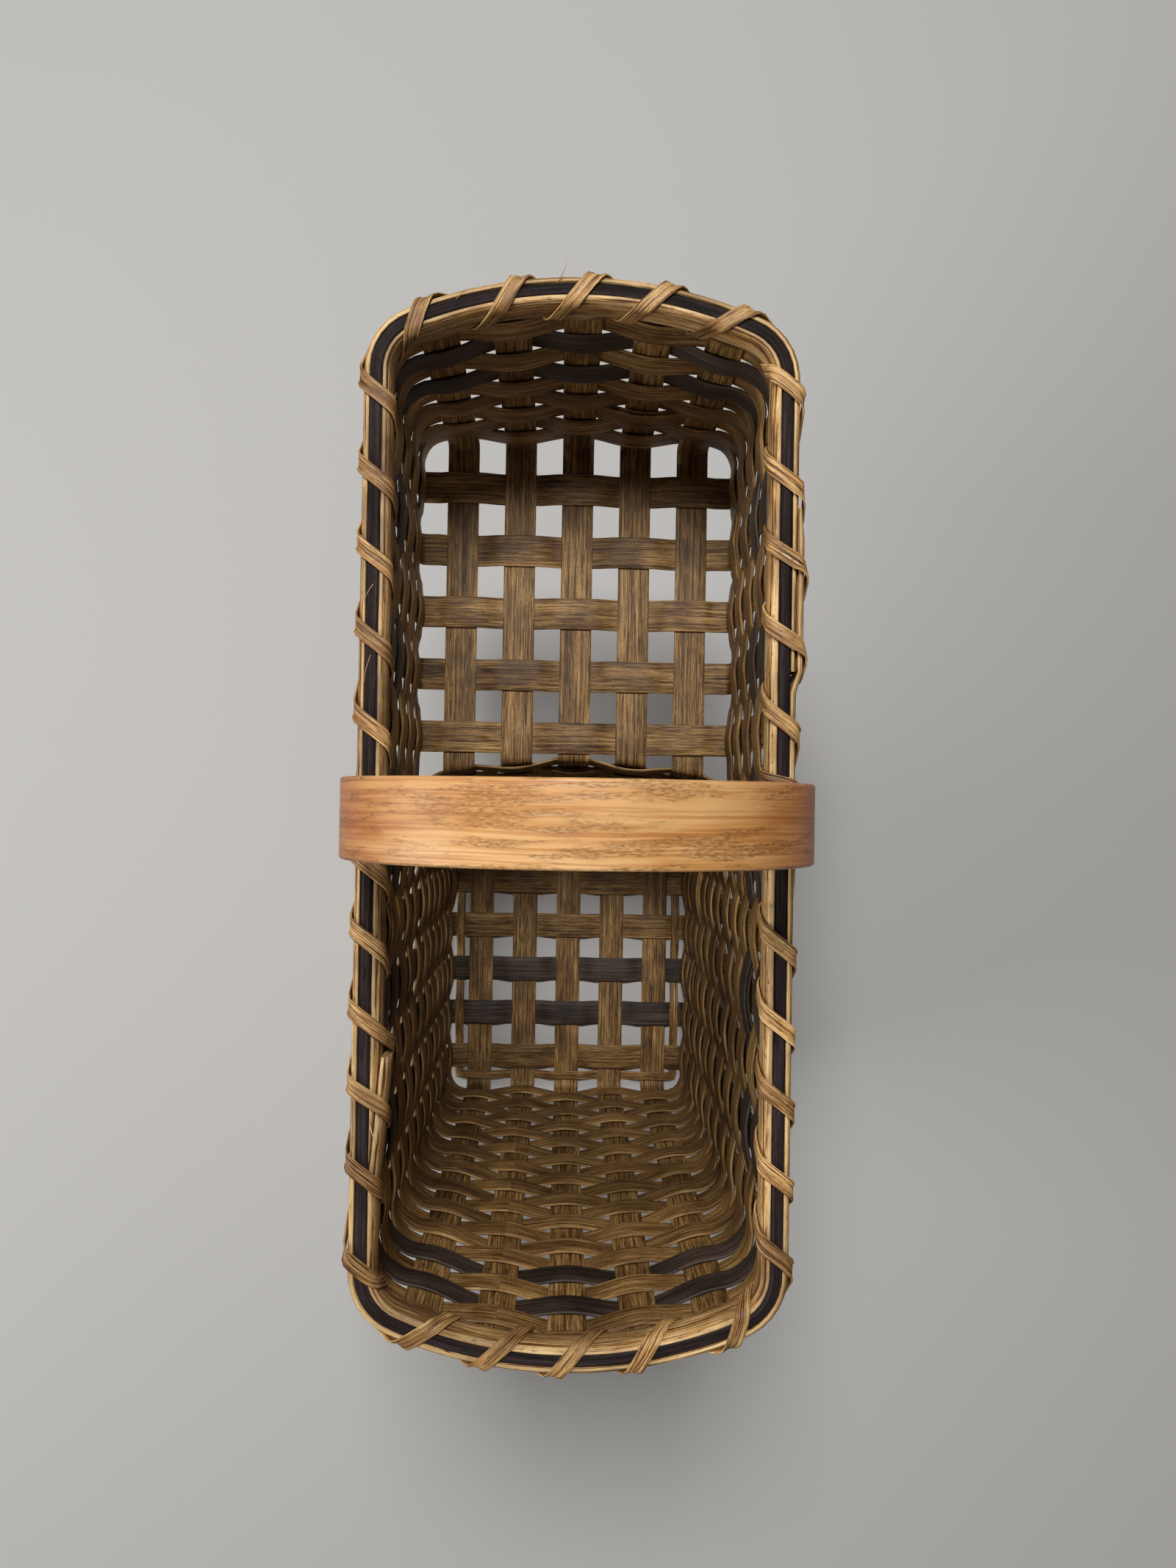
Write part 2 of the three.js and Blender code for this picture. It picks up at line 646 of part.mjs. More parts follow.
// The handle: one bent strip of oak with a thin tail tucked into each side wall.
function handle() {
  const legTop = rimTop + legHeight;
  const clearOfRim = rimTop + shoulderGap;
  const legX = (z) => sideX(Math.min(z, rimTop)) - legInset * Math.max(0, z - rimTop) / legHeight;
  const tailTip = rimBottom - tailLength;
  const levels = [
    { z: tailTip, width: tailTipWidth, thick: tailThick },
    { z: tailTip + tailTipRun, width: tailWidth, thick: tailThick },
    { z: clearOfRim, width: tailWidth, thick: tailThick },
    { z: clearOfRim + ledgeRise, width: tailWidth + ledgeWidening, thick: handleThick - shoulderEase },
    { z: clearOfRim + shoulderRise / 2, width: (tailWidth + handleWidth) / 2, thick: handleThick },
    { z: clearOfRim + shoulderRise, width: handleWidth - shoulderEase, thick: handleThick },
    { z: legTop, width: handleWidth, thick: handleThick },
  ];
  const leg = (side) => levels.map(({ z, width, thick }) => ({
    ...place(side * legX(z), handleY, z, acrossY), width, thick,
  }));
  const arch = Array.from({ length: archSteps - 1 }, (_, i) => {
    const turn = (i + 1) * Math.PI / archSteps;
    const x = -legX(legTop) * Math.cos(turn);
    const z = legTop + archRise * Math.sin(turn);
    return { ...place(x, handleY, z, acrossY), width: handleWidth, thick: handleThick };
  });
  const path = [...leg(-1), ...arch, ...leg(1).reverse()];
  return sweep(path, (i) => {
    const { width, thick } = path[i];
    const cut = Math.min(handleChamfer, thick * handleChamferShare);
    const u = width / 2;
    const v = thick / 2;
    return [
      [-u, -v + cut], [-u + cut, -v], [u - cut, -v], [u, -v + cut],
      [u, v - cut], [u - cut, v], [-u + cut, v], [-u, v - cut],
    ];
  });
}

// Finishes
const finish = (color, roughness) => () => new THREE.MeshStandardMaterial({
  color, roughness, metalness: 0, flatShading: true,
});
const naturalReed = finish(0xb98a55, 0.62);
const dyedReed = finish(0x33231c, 0.6);
const rimReed = finish(0xc49a66, 0.6);
const fillerReed = finish(0x2b1d18, 0.65);
const lashingReed = finish(0xc9a06c, 0.58);
const oak = finish(0xb9823f, 0.42);

const basket = new THREE.Group();

function add(name, geometry, material) {
  geometry.computeVertexNormals();
  const mesh = new THREE.Mesh(geometry, material());
  mesh.name = name;
  basket.add(mesh);
}

const numbered = (name, i) => `${name}_${String(i + 1).padStart(2, '0')}`;

for (let i = 0; i < longCount; i += 1) add(numbered('long_stake', i), longStake(longX(i)), naturalReed);
for (let i = 0; i < lowerCrossCount; i += 1) {
  const reed = darkLowerCross.includes(i) ? dyedReed : naturalReed;
  add(numbered('lower_cross_stake', i), crossStake(() => lowerCrossY(i), 0, i % 2), reed);
}
for (let i = 0; i < upperCrossCount; i += 1) {
  const stake = crossStake((z) => upperCrossY(i, z), stepHeight, i % 2);
  add(numbered('upper_cross_stake', i), stake, naturalReed);
}
add('base_lock_row', lockRow(), naturalReed);
for (let k = 0; k < lowerRowCount; k += 1) add(numbered('lower_row', k), lowerRow(k), naturalReed);
for (let k = 0; k < upperRowCount; k += 1) {
  add(numbered('upper_row', k), upperRow(k), darkUpperRows.includes(k + 1) ? dyedReed : naturalReed);
}
add('rim_row', upperRow(upperRowCount), naturalReed);
add('outer_rim', rimStrip(1, atRight(outerSpliceY), outerSpliceLength, 1), rimReed);
add('inner_rim', rimStrip(-1, atLeft(innerSpliceY), innerSpliceLength, -1), rimReed);
const besideHandle = tailWidth / 2 + fillerGap;
const deepFiller = filler(atLeft(handleY - besideHandle), atRight(handleY - besideHandle) + line.length);
const shallowFiller = filler(atRight(handleY + besideHandle), atLeft(handleY + besideHandle));
add('rim_filler_deep', deepFiller, fillerReed);
add('rim_filler_shallow', shallowFiller, fillerReed);
add('lashing', lashing(), lashingReed);
add('handle', handle(), oak);

export default basket;
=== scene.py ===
"""Stair basket of flat reed, dressed for rendering around its packed construction model.

Every size is in millimetres inside the classes and turned to metres when a mesh is made.
"""
import logging
import math
import random
from dataclasses import dataclass, field
from enum import Enum
from typing import Callable, Sequence

import bmesh
import bpy
from mathutils import Matrix, Vector


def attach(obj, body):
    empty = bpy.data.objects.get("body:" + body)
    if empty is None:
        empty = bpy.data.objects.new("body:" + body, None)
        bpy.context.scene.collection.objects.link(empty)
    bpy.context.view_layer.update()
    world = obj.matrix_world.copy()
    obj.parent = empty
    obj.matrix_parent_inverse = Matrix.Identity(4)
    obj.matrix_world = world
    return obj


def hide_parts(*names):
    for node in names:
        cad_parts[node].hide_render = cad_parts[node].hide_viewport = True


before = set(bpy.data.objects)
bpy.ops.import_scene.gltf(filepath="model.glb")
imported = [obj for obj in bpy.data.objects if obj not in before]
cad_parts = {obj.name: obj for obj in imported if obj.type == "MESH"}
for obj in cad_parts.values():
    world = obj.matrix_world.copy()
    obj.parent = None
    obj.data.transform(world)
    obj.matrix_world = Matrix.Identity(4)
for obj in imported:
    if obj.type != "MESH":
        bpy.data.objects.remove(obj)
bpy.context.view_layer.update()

log = logging.getLogger("stair_basket")
MM = 0.001
MERGE = 1e-8
MAP_SHIFT = 4000.0
MAP_SLANT = 0.37
MAP_SEED = 1942
X, Y, Z = Vector((1, 0, 0)), Vector((0, 1, 0)), Vector((0, 0, 1))

Spot = Callable[[float, float], Vector]
Places = list[tuple[Vector, Vector]]
Marks = list[tuple[float, float]]
Place = tuple[float, float, float]
Stops = Sequence[tuple[float, int]]
Piece = bpy.types.Object
Socket = bpy.types.NodeSocket


def lerp(a: float, b: float, t: float) -> float:
    """Blend from a to b as t goes from 0 to 1."""
    return a + (b - a) * t


def ease(t: float) -> float:
    """Blend smoothly from 0 to 1, flat at both ends."""
    t = min(max(t, 0.0), 1.0)
    return t * t * (3.0 - 2.0 * t)


def eased(marks: Marks, at: float) -> float:
    """Read a level off marks, easing from each mark to the next.

    Args:
        marks: Places with their levels, in order.
        at: The place to read.

    Returns:
        The level there.
    """
    (at0, level0), (at1, level1) = next(pair for pair in zip(marks, marks[1:]) if at <= pair[1][0])
    return lerp(level0, level1, ease((at - at0) / max(at1 - at0, 1e-6)))


def joined_up(marks: Marks, length: float) -> Marks:
    """Sort the marks of a closed path, and carry one mark over each end so that it joins up."""
    marks = sorted(marks)
    return [(marks[-1][0] - length, marks[-1][1]), *marks, (marks[0][0] + length, marks[0][1])]


class End(Enum):
    """The three walls that close the compartments along the stair."""

    FRONT = "front"
    RISER = "riser"
    SHALLOW = "shallow"


class Side(Enum):
    """The two long side walls."""

    LEFT = -1
    RIGHT = 1


@dataclass(frozen=True)
class EndWall:
    """An end wall that bows outwards in plan (in 1/mm) and leans from its foot to its top."""

    face: int
    low: float
    high: float
    foot_y: float
    top_y: float
    foot_bow: float
    top_bow: float

    def y(self, z: float) -> float:
        """Return where the middle of the wall stands at a height."""
        return lerp(self.foot_y, self.top_y, (z - self.low) / (self.high - self.low))

    def radius(self, z: float) -> float:
        """Return the radius of the wall's bow at a height."""
        return 1.0 / lerp(self.foot_bow, self.top_bow, (z - self.low) / (self.high - self.low))


@dataclass
class Walls:
    """The middle surface of all the walls, with the sizes of the reed that stands in it."""

    stake_width: float = 15.9
    stake_thick: float = 1.1
    stake_clear: float = 0.1
    weaver_width: float = 12.7
    weaver_thick: float = 1.0
    touch: float = 0.3
    edge_ease: float = 0.4
    long_count: int = 5
    long_pitch: float = 29.2
    lower_count: int = 6
    lower_pitch: float = 29.4
    upper_count: int = 5
    upper_pitch: float = 31.75
    upper_draw_in: float = 1.5
    lower_rows: int = 14
    upper_rows: int = 9
    riser_row_gap: float = 0.52
    shallow_row_gap: float = 1.06
    side_foot_x: float = 78.5
    side_lean: float = 1.5
    corner_x: float = 67.2
    end_bend: float = 5.0
    side_bend: float = 3.2
    shallow_bend: float = 4.0
    riser_top_bend: float = 3.0
    foot_clear: float = 0.25
    riser_clear: float = 1.1
    shallow_clear: float = 1.25
    front_clear: float = 4.0
    cross_to_foot: float = 21.3
    riser_lean: float = 24.9
    front_lean: float = 21.0
    shallow_lean: float = 17.0
    riser_top_run: float = 3.35
    shallow_run: float = 15.65
    foot_radius: float = 2000.0
    riser_top_radius: float = 300.0
    shallow_foot_radius: float = 1250.0
    rim_radius: float = 171.0
    rim_height: float = 14.5
    outer_rim_thick: float = 2.8
    inner_rim_thick: float = 3.8
    rim_seat: float = 2.6
    filler_height: float = 3.6
    lasher_thick: float = 0.8
    lasher_gap: float = 0.45
    tail_width: float = 18.0
    tail_thick: float = 2.0
    tail_gap: float = 2.15
    tail_length: float = 92.0

    def __post_init__(self) -> None:
        """Work out the heights and places that follow from the reed."""
        half = self.stake_width / 2
        self.stake_reach = half + self.edge_ease
        self.floor_mid = self.stake_thick * 1.5 + self.touch
        self.floor_step = self.stake_thick + self.touch
        self.foot_top = self.floor_mid + self.end_bend + self.foot_clear
        self.riser_pitch = self.weaver_width + self.riser_row_gap
        riser_rows_top = self.foot_top + self.lower_rows * self.riser_pitch - self.riser_row_gap
        self.step = riser_rows_top + self.riser_clear + self.riser_top_bend - self.floor_mid
        self.step_mid = self.step + self.floor_mid
        self.upper_foot = self.step_mid + self.shallow_bend + self.shallow_clear
        self.shallow_pitch = self.weaver_width + self.shallow_row_gap
        self.upper_rows_top = self.upper_foot + self.upper_rows * self.shallow_pitch - self.shallow_row_gap
        self.rim_bottom = self.upper_rows_top + self.lasher_thick + self.lasher_gap + self.touch
        self.rim_top = self.rim_bottom + self.rim_height
        self.rim_mid = (self.rim_top + self.rim_bottom) / 2
        self.filler_mid = self.rim_top - self.filler_height / 2
        self.stake_top = self.rim_top - self.filler_height - self.touch - self.stake_clear
        self.front_upper_foot = self.step + self.front_clear
        lower_length = (self.lower_count - 1) * self.lower_pitch + 2 * self.cross_to_foot
        riser_ahead = self.riser_lean + self.riser_top_run + half
        upper_length = (self.upper_count - 1) * self.upper_pitch + half + self.shallow_run
        rim_length = self.front_lean + lower_length + riser_ahead + upper_length + self.shallow_lean
        front = self.front_lean - rim_length / 2
        riser = front + lower_length
        self.first_lower_y = riser - self.cross_to_foot
        self.first_upper_y = riser + riser_ahead
        shallow = self.first_upper_y + upper_length
        self.handle_y = self.first_lower_y + half + self.tail_gap + self.tail_width / 2
        foot, top, rim = 1 / self.foot_radius, 1 / self.riser_top_radius, 1 / self.rim_radius
        self.ends = {
            End.FRONT: EndWall(-1, 0.0, self.rim_top, front, front - self.front_lean, foot, rim),
            End.RISER: EndWall(1, 0.0, self.step, riser, riser + self.riser_lean, foot, top),
            End.SHALLOW: EndWall(
                1, self.step, self.rim_top, shallow, shallow + self.shallow_lean,
                1 / self.shallow_foot_radius, rim,
            ),
        }

    def side_x(self, z: float) -> float:
        """Return how far the middle of a side wall stands from the basket's middle plane."""
        return self.side_foot_x + self.side_lean * z / self.rim_top

    def rim_reach(self, face: int) -> float:
        """Return how far a rim's broad face is from the wall's middle, face being 1 outside, -1 inside."""
        return self.rim_seat + (self.outer_rim_thick if face > 0 else self.inner_rim_thick)

    def long_x(self, i: int) -> float:
        """Return the place of a long stake across the basket."""
        return (i - (self.long_count - 1) / 2) * self.long_pitch

    def lower_y(self, i: int) -> float:
        """Return the place of a lower cross stake, counted from the handle."""
        return self.first_lower_y - i * self.lower_pitch

    def upper_y(self, i: int, z: float) -> float:
        """Find an upper cross stake, as the stakes draw in towards the rim.

        Args:
            i: Which stake, counted from the handle.
            z: The height.

        Returns:
            The stake's place along the basket.
        """
        most = self.upper_draw_in * i / (self.upper_count - 1)
        drawn = most * (z - self.step) / (self.rim_top - self.step)
        return self.first_upper_y + i * self.upper_pitch - drawn

    def on_end(self, end: End, x: float, run: float = 0.0) -> Spot:
        """Return a place on an end wall.

        Args:
            end: The wall.
            x: Distance across the basket.
            run: Further distance along the bow.

        Returns:
            A function of the height and of the distance out from the wall's middle.
        """
        wall = self.ends[end]

        def spot(z: float, out: float) -> Vector:
            """Find the point at a height and a distance out.

            Args:
                z: The height.
                out: Distance out from the wall's middle.

            Returns:
                The point.
            """
            radius = wall.radius(z)
            angle = math.asin(x / radius) + run / radius
            reach = radius + out
            y = wall.y(z) + wall.face * (reach * math.cos(angle) - radius)
            return Vector((reach * math.sin(angle), y, z))

        return spot

    def corner(self, end: End, z: float) -> tuple[float, float, float, float]:
        """Measure the corner between an end wall and a side wall.

        Args:
            end: The end wall.
            z: The height.

        Returns:
            The corner's start angle, its radius and its centre (x, y) on the right.
        """
        wall = self.ends[end]
        radius = wall.radius(z)
        angle = math.asin(self.corner_x / radius)
        bend = (self.side_x(z) - self.corner_x) / (1 - math.sin(angle))
        centre_y = wall.y(z) - wall.face * (radius - (radius - bend) * math.cos(angle))
        return angle, bend, self.side_x(z) - bend, centre_y

    def on_corner(self, end: End, side: Side, t: float) -> Spot:
        """Return a place on a corner.

        Args:
            end: The end wall.
            side: The side wall.
            t: 0 at the end wall, 1 at the side wall.

        Returns:
            A function of the height and of the distance out from the wall's middle.
        """

        def spot(z: float, out: float) -> Vector:
            """Find the point at a height and a distance out.

            Args:
                z: The height.
                out: Distance out from the wall's middle.

            Returns:
                The point.
            """
            angle, bend, x, y = self.corner(end, z)
            turn = lerp(angle, math.pi / 2, t)
            reach = bend + out
            face = self.ends[end].face
            return Vector((side.value * (x + reach * math.sin(turn)), y + face * reach * math.cos(turn), z))

        return spot

    def on_side(self, side: Side, y: float) -> Spot:
        """Return a place on a side wall."""
        return lambda z, out: Vector((side.value * (self.side_x(z) + out), y, z))


@dataclass(frozen=True)
class Crossing:
    """A stake that a row passes: its middle along the ring, its half width and thickness."""

    at: float
    half: float
    thick: float
    inside: bool


def threes(crossings: Sequence[Crossing]) -> list[tuple[Crossing, Crossing, Crossing]]:
    """List each crossing of a closed row between the one before it and the one after it."""
    return list(zip([*crossings[-1:], *crossings[:-1]], crossings, [*crossings[1:], *crossings[:1]]))


class Ring:
    """The wall at one height as a closed path, measured anticlockwise from the middle of the front."""

    def __init__(self, walls: Walls, far: End, z: float) -> None:
        """Measure the ring.

        Args:
            walls: The walls that it runs on.
            far: The end wall opposite the front.
            z: The height at which lengths are measured.
        """
        self.walls, self.far, self.z = walls, far, z
        near, right, left = End.FRONT, Side.RIGHT, Side.LEFT
        self.front_y, self.back_y = walls.corner(near, z)[3], walls.corner(far, z)[3]
        side = self.back_y - self.front_y
        near_arc, far_arc = self._arc(near), self._arc(far)
        near_turn, far_turn = self._turn(near), self._turn(far)
        self.parts: list[tuple[float, Callable[[float], Spot]]] = [
            (near_arc, lambda run: walls.on_end(near, 0, run)),
            (near_turn, lambda run: walls.on_corner(near, right, run / near_turn)),
            (side, lambda run: walls.on_side(right, self.front_y + run)),
            (far_turn, lambda run: walls.on_corner(far, right, 1 - run / far_turn)),
            (2 * far_arc, lambda run: walls.on_end(far, 0, far_arc - run)),
            (far_turn, lambda run: walls.on_corner(far, left, run / far_turn)),
            (side, lambda run: walls.on_side(left, self.back_y - run)),
            (near_turn, lambda run: walls.on_corner(near, left, 1 - run / near_turn)),
            (near_arc, lambda run: walls.on_end(near, 0, run - near_arc)),
        ]
        lengths = [length for length, _ in self.parts]
        self.starts = [sum(lengths[:i]) for i in range(len(lengths))]
        self.length = sum(lengths)

    def _arc(self, end: End) -> float:
        """Return the length of half the bow of an end wall."""
        radius = self.walls.ends[end].radius(self.z)
        return math.asin(self.walls.corner_x / radius) * radius

    def _turn(self, end: End) -> float:
        """Return the length of a corner."""
        angle, bend, _, _ = self.walls.corner(end, self.z)
        return (math.pi / 2 - angle) * bend

    def spot(self, s: float) -> Spot:
        """Find the place at a distance along the ring.

        Args:
            s: The distance, which may run past either end.

        Returns:
            A function of the height and of the distance out from the wall's middle.
        """
        s %= self.length
        index = max(i for i, start in enumerate(self.starts) if start <= s)
        return self.parts[index][1](s - self.starts[index])

    def at_right(self, y: float) -> float:
        """Return the distance of a place on the right side wall."""
        return self.starts[2] + y - self.front_y

    def at_left(self, y: float) -> float:
        """Return the distance of a place on the left side wall."""
        return self.starts[6] + self.back_y - y

    def at_end(self, end: End, x: float) -> float:
        """Return the distance of a place on an end wall.

        Args:
            end: The wall.
            x: Distance across the basket.

        Returns:
            The distance along the ring.
        """
        radius = self.walls.ends[end].radius(self.z)
        run = math.asin(x / radius) * radius
        return run % self.length if end is End.FRONT else self.starts[4] + self.parts[4][0] / 2 - run

    def crossings(self, first_inside: bool, with_tail: bool) -> list[Crossing]:
        """List the stakes that a row passes, in order along the ring.

        Args:
            first_inside: Whether the row passes the leftmost front stake on the inside.
            with_tail: Whether the tails of the handle are in the wall at this height.

        Returns:
            One crossing per stake, with a handle tail passed as the stake beside it is.
        """
        walls, ends, sides = self.walls, (End.FRONT, self.far), (self.at_right, self.at_left)
        stakes = [self.at_end(end, walls.long_x(i)) for end in ends for i in range(walls.long_count)]
        start = stakes[0]
        for at in sides:
            stakes += [at(walls.lower_y(i)) for i in range(walls.lower_count)]
            if self.far is End.SHALLOW:
                stakes += [at(walls.upper_y(i, self.z)) for i in range(walls.upper_count)]
        stakes.sort(key=lambda at: (at - start) % self.length)
        inside = {at: first_inside == (k % 2 == 0) for k, at in enumerate(stakes)}
        result = [Crossing(at, walls.stake_width / 2, walls.stake_thick, inside[at]) for at in stakes]
        if with_tail:
            half, thick = walls.tail_width / 2, walls.tail_thick
            result += [
                Crossing(at(walls.handle_y), half, thick, inside[at(walls.lower_y(0))]) for at in sides
            ]
        return sorted(result, key=lambda crossing: (crossing.at - start) % self.length)


# Finishes

BLACK, WHITE = 0x000000, 0xFFFFFF
NOISE_ROUGHNESS = 0.62
WOOD_IOR = 1.5


def linear(hex_colour: int) -> tuple[float, float, float, float]:
    """Turn an sRGB colour to the linear values that Blender uses.

    Args:
        hex_colour: The colour, as 0xRRGGBB.

    Returns:
        Red, green, blue and an alpha of 1.
    """
    channels = [(hex_colour >> shift & 255) / 255 for shift in (16, 8, 0)]
    red, green, blue = [c / 12.92 if c <= 0.04045 else ((c + 0.055) / 1.055) ** 2.4 for c in channels]
    return red, green, blue, 1.0


class Nodes:
    """A new material and the nodes that make it."""

    def __init__(self, name: str) -> None:
        """Start the material.

        Args:
            name: The material's name.
        """
        self.material = bpy.data.materials.new(name)
        self.material.use_nodes = True
        self.tree = self.material.node_tree

    def fill(self, node: bpy.types.Node, inputs: dict[int | str, object]) -> None:
        """Link output sockets to a node's inputs, or set the inputs' values.

        Args:
            node: The node.
            inputs: Values or output sockets, by the input's name or number.
        """
        for key, value in inputs.items():
            if isinstance(value, Socket):
                self.tree.links.new(value, node.inputs[key])
            else:
                node.inputs[key].default_value = value

    def add(self, kind: str, inputs: dict[int | str, object], output: int | str = 0,
            stops: Stops = (), **settings: object) -> Socket:
        """Add a shader node.

        Args:
            kind: The node's type name without its ShaderNode prefix.
            inputs: Values or output sockets for its inputs, by name or number.
            output: Which output to return.
            stops: Places and sRGB hex colours, where the node is a colour ramp.
            **settings: Properties to set on the node itself.

        Returns:
            The output socket.
        """
        node = self.tree.nodes.new(f"ShaderNode{kind}")
        for name, value in settings.items():
            setattr(node, name, value)
        self.fill(node, inputs)
        for i, (position, colour) in enumerate(stops):
            elements = node.color_ramp.elements
            element = elements[i] if i < len(elements) else elements.new(1.0)
            element.position, element.color = position, linear(colour)
        return node.outputs[output]

    def grain(self, strip: Socket, along: float, across: float, detail: float, shift: float = 0.0) -> Socket:
        """Draw noise out along a strip, with most of its values near a half.

        Args:
            strip: The strip's map in millimetres.
            along: Length of the grain in millimetres.
            across: Width of the grain in millimetres.
            detail: How many finer layers lie over it.
            shift: Offset that keeps it apart from other grain on the same map.

        Returns:
            The noise.
        """
        scale, offset = (1 / along, 1 / across, 1), (shift, shift, shift)
        drawn = self.add("Mapping", {"Vector": strip, "Scale": scale, "Location": offset})
        noise = {"Vector": drawn, "Scale": 1.0, "Detail": detail, "Roughness": NOISE_ROUGHNESS}
        return self.add("TexNoise", noise)

    def cover(self, below: Socket, share: float, mask: Socket, tint: int) -> Socket:
        """Lay a tint over a colour where a mask is white, as strongly as the share says."""
        factor = self.add("Math", {0: mask, 1: share}, operation="MULTIPLY")
        return self.add("Mix", {0: factor, 6: below, 7: linear(tint)}, 2, data_type="RGBA", blend_type="MIX")

    def stain(self, below: Socket, share: float, source: Socket, stops: Stops) -> Socket:
        """Multiply a colour by the colours that the stops give a source, as strongly as the share says."""
        above = self.add("ValToRGB", {"Fac": source}, stops=stops)
        return self.add("Mix", {0: share, 6: below, 7: above}, 2, data_type="RGBA", blend_type="MULTIPLY")

    def finish(self, inputs: dict[int | str, object]) -> bpy.types.Material:
        """Fill the inputs of the material's shader and return the material."""
        self.fill(self.tree.nodes["Principled BSDF"], inputs)
        return self.material


@dataclass(frozen=True)
class StainedReed:
    """Split rattan core, flat cut: straight fibres with open pores, wiped with stain.

    The fibres take the stain unevenly, so the eye sees short pale and dark streaks along the strip,
    pinprick dark pores, broader cloudy patches and a soft satin shine. The cut edges are painted pale,
    both in their own paler colour and as a painted highlight where they catch the light.
    Real fibres are about 0.2 mm wide, and are drawn at twice that so that they show.
    """

    name: str
    pale: int
    middle: int
    dark: int
    pore: int
    fibre_mm: float = 0.5
    fibre_length_mm: float = 26.0
    patch_mm: float = 22.0
    roughness: float = 0.58
    roughness_spread: tuple[float, float] = (-0.1, 0.12)
    relief_mm: float = 0.14
    relief_strength: float = 0.9
    pale_share: float = 0.55
    pore_share: float = 0.6
    # Share of the pale edges: the cut edges' own paler colour and a painted highlight.
    edge_share: float = 0.2
    patch_share: float = 0.85
    patch_tint: int = 0x9C8E7E
    sheen: float = 0.4
    bundle_share: float = 0.5
    contrast: float = 1.0

    def build(self) -> bpy.types.Material:
        """Build the material, read from the strip's own map of millimetres along and across.

        Returns:
            The material.
        """
        nodes = Nodes(self.name)
        strip = nodes.add("UVMap", {}, uv_map="strip_mm")
        tone, edge = (nodes.add("Attribute", {}, "Fac", attribute_name=name) for name in ("tone", "edge"))
        # Length and width in fibres, finer layers and offset: single fibres, bundles, pale splits and pores.
        layers = ((1.0, 1.0, 5.0, 0.0), (6.0, 3.0, 3.0, 3.0), (0.8, 1.3, 2.0, 7.0), (0.14, 0.8, 1.0, 11.0))
        fine, broad, split, pores = (
            nodes.grain(strip, self.fibre_length_mm * long, self.fibre_mm * thin, detail, shift)
            for long, thin, detail, shift in layers
        )
        single = nodes.add("Math", {0: fine, 1: 1 - self.bundle_share}, operation="MULTIPLY")
        fibres = nodes.add("Math", {0: broad, 1: self.bundle_share, 2: single}, operation="MULTIPLY_ADD")
        stops = ((-0.15, self.pore), (-0.07, self.dark), (0.0, self.middle), (0.12, self.pale))
        colour = nodes.add(
            "ValToRGB", {"Fac": fibres}, stops=[(0.5 + level / self.contrast, tint) for level, tint in stops],
        )
        for source, share, tint, mask in (
            (split, self.pale_share, self.pale, ((0.54, BLACK), (0.63, WHITE))),
            (pores, self.pore_share, self.pore, ((0.34, WHITE), (0.40, BLACK))),
            # Pale edges: partly the cut edges' own colour, partly a painted highlight.
            (edge, self.edge_share, self.pale, ((0.98, BLACK), (1.0, WHITE))),
        ):
            colour = nodes.cover(colour, share, nodes.add("ValToRGB", {"Fac": source}, stops=mask), tint)
        cloud = nodes.grain(strip, self.patch_mm * 2, self.patch_mm, 3.0, 5.0)
        colour = nodes.stain(colour, self.patch_share, cloud, ((0.36, self.patch_tint), (0.60, WHITE)))
        least, most = (self.roughness + spread for spread in self.roughness_spread)
        relief = {"Height": fibres, "Strength": self.relief_strength, "Distance": self.relief_mm * MM}
        return nodes.finish({
            "Base Color": nodes.add("HueSaturation", {"Color": colour, "Value": tone}),
            "Roughness": nodes.add("MapRange", {"Value": fine, "To Min": least, "To Max": most}),
            "Normal": nodes.add("Bump", relief),
            "IOR": WOOD_IOR, "Specular IOR Level": self.sheen,
        })


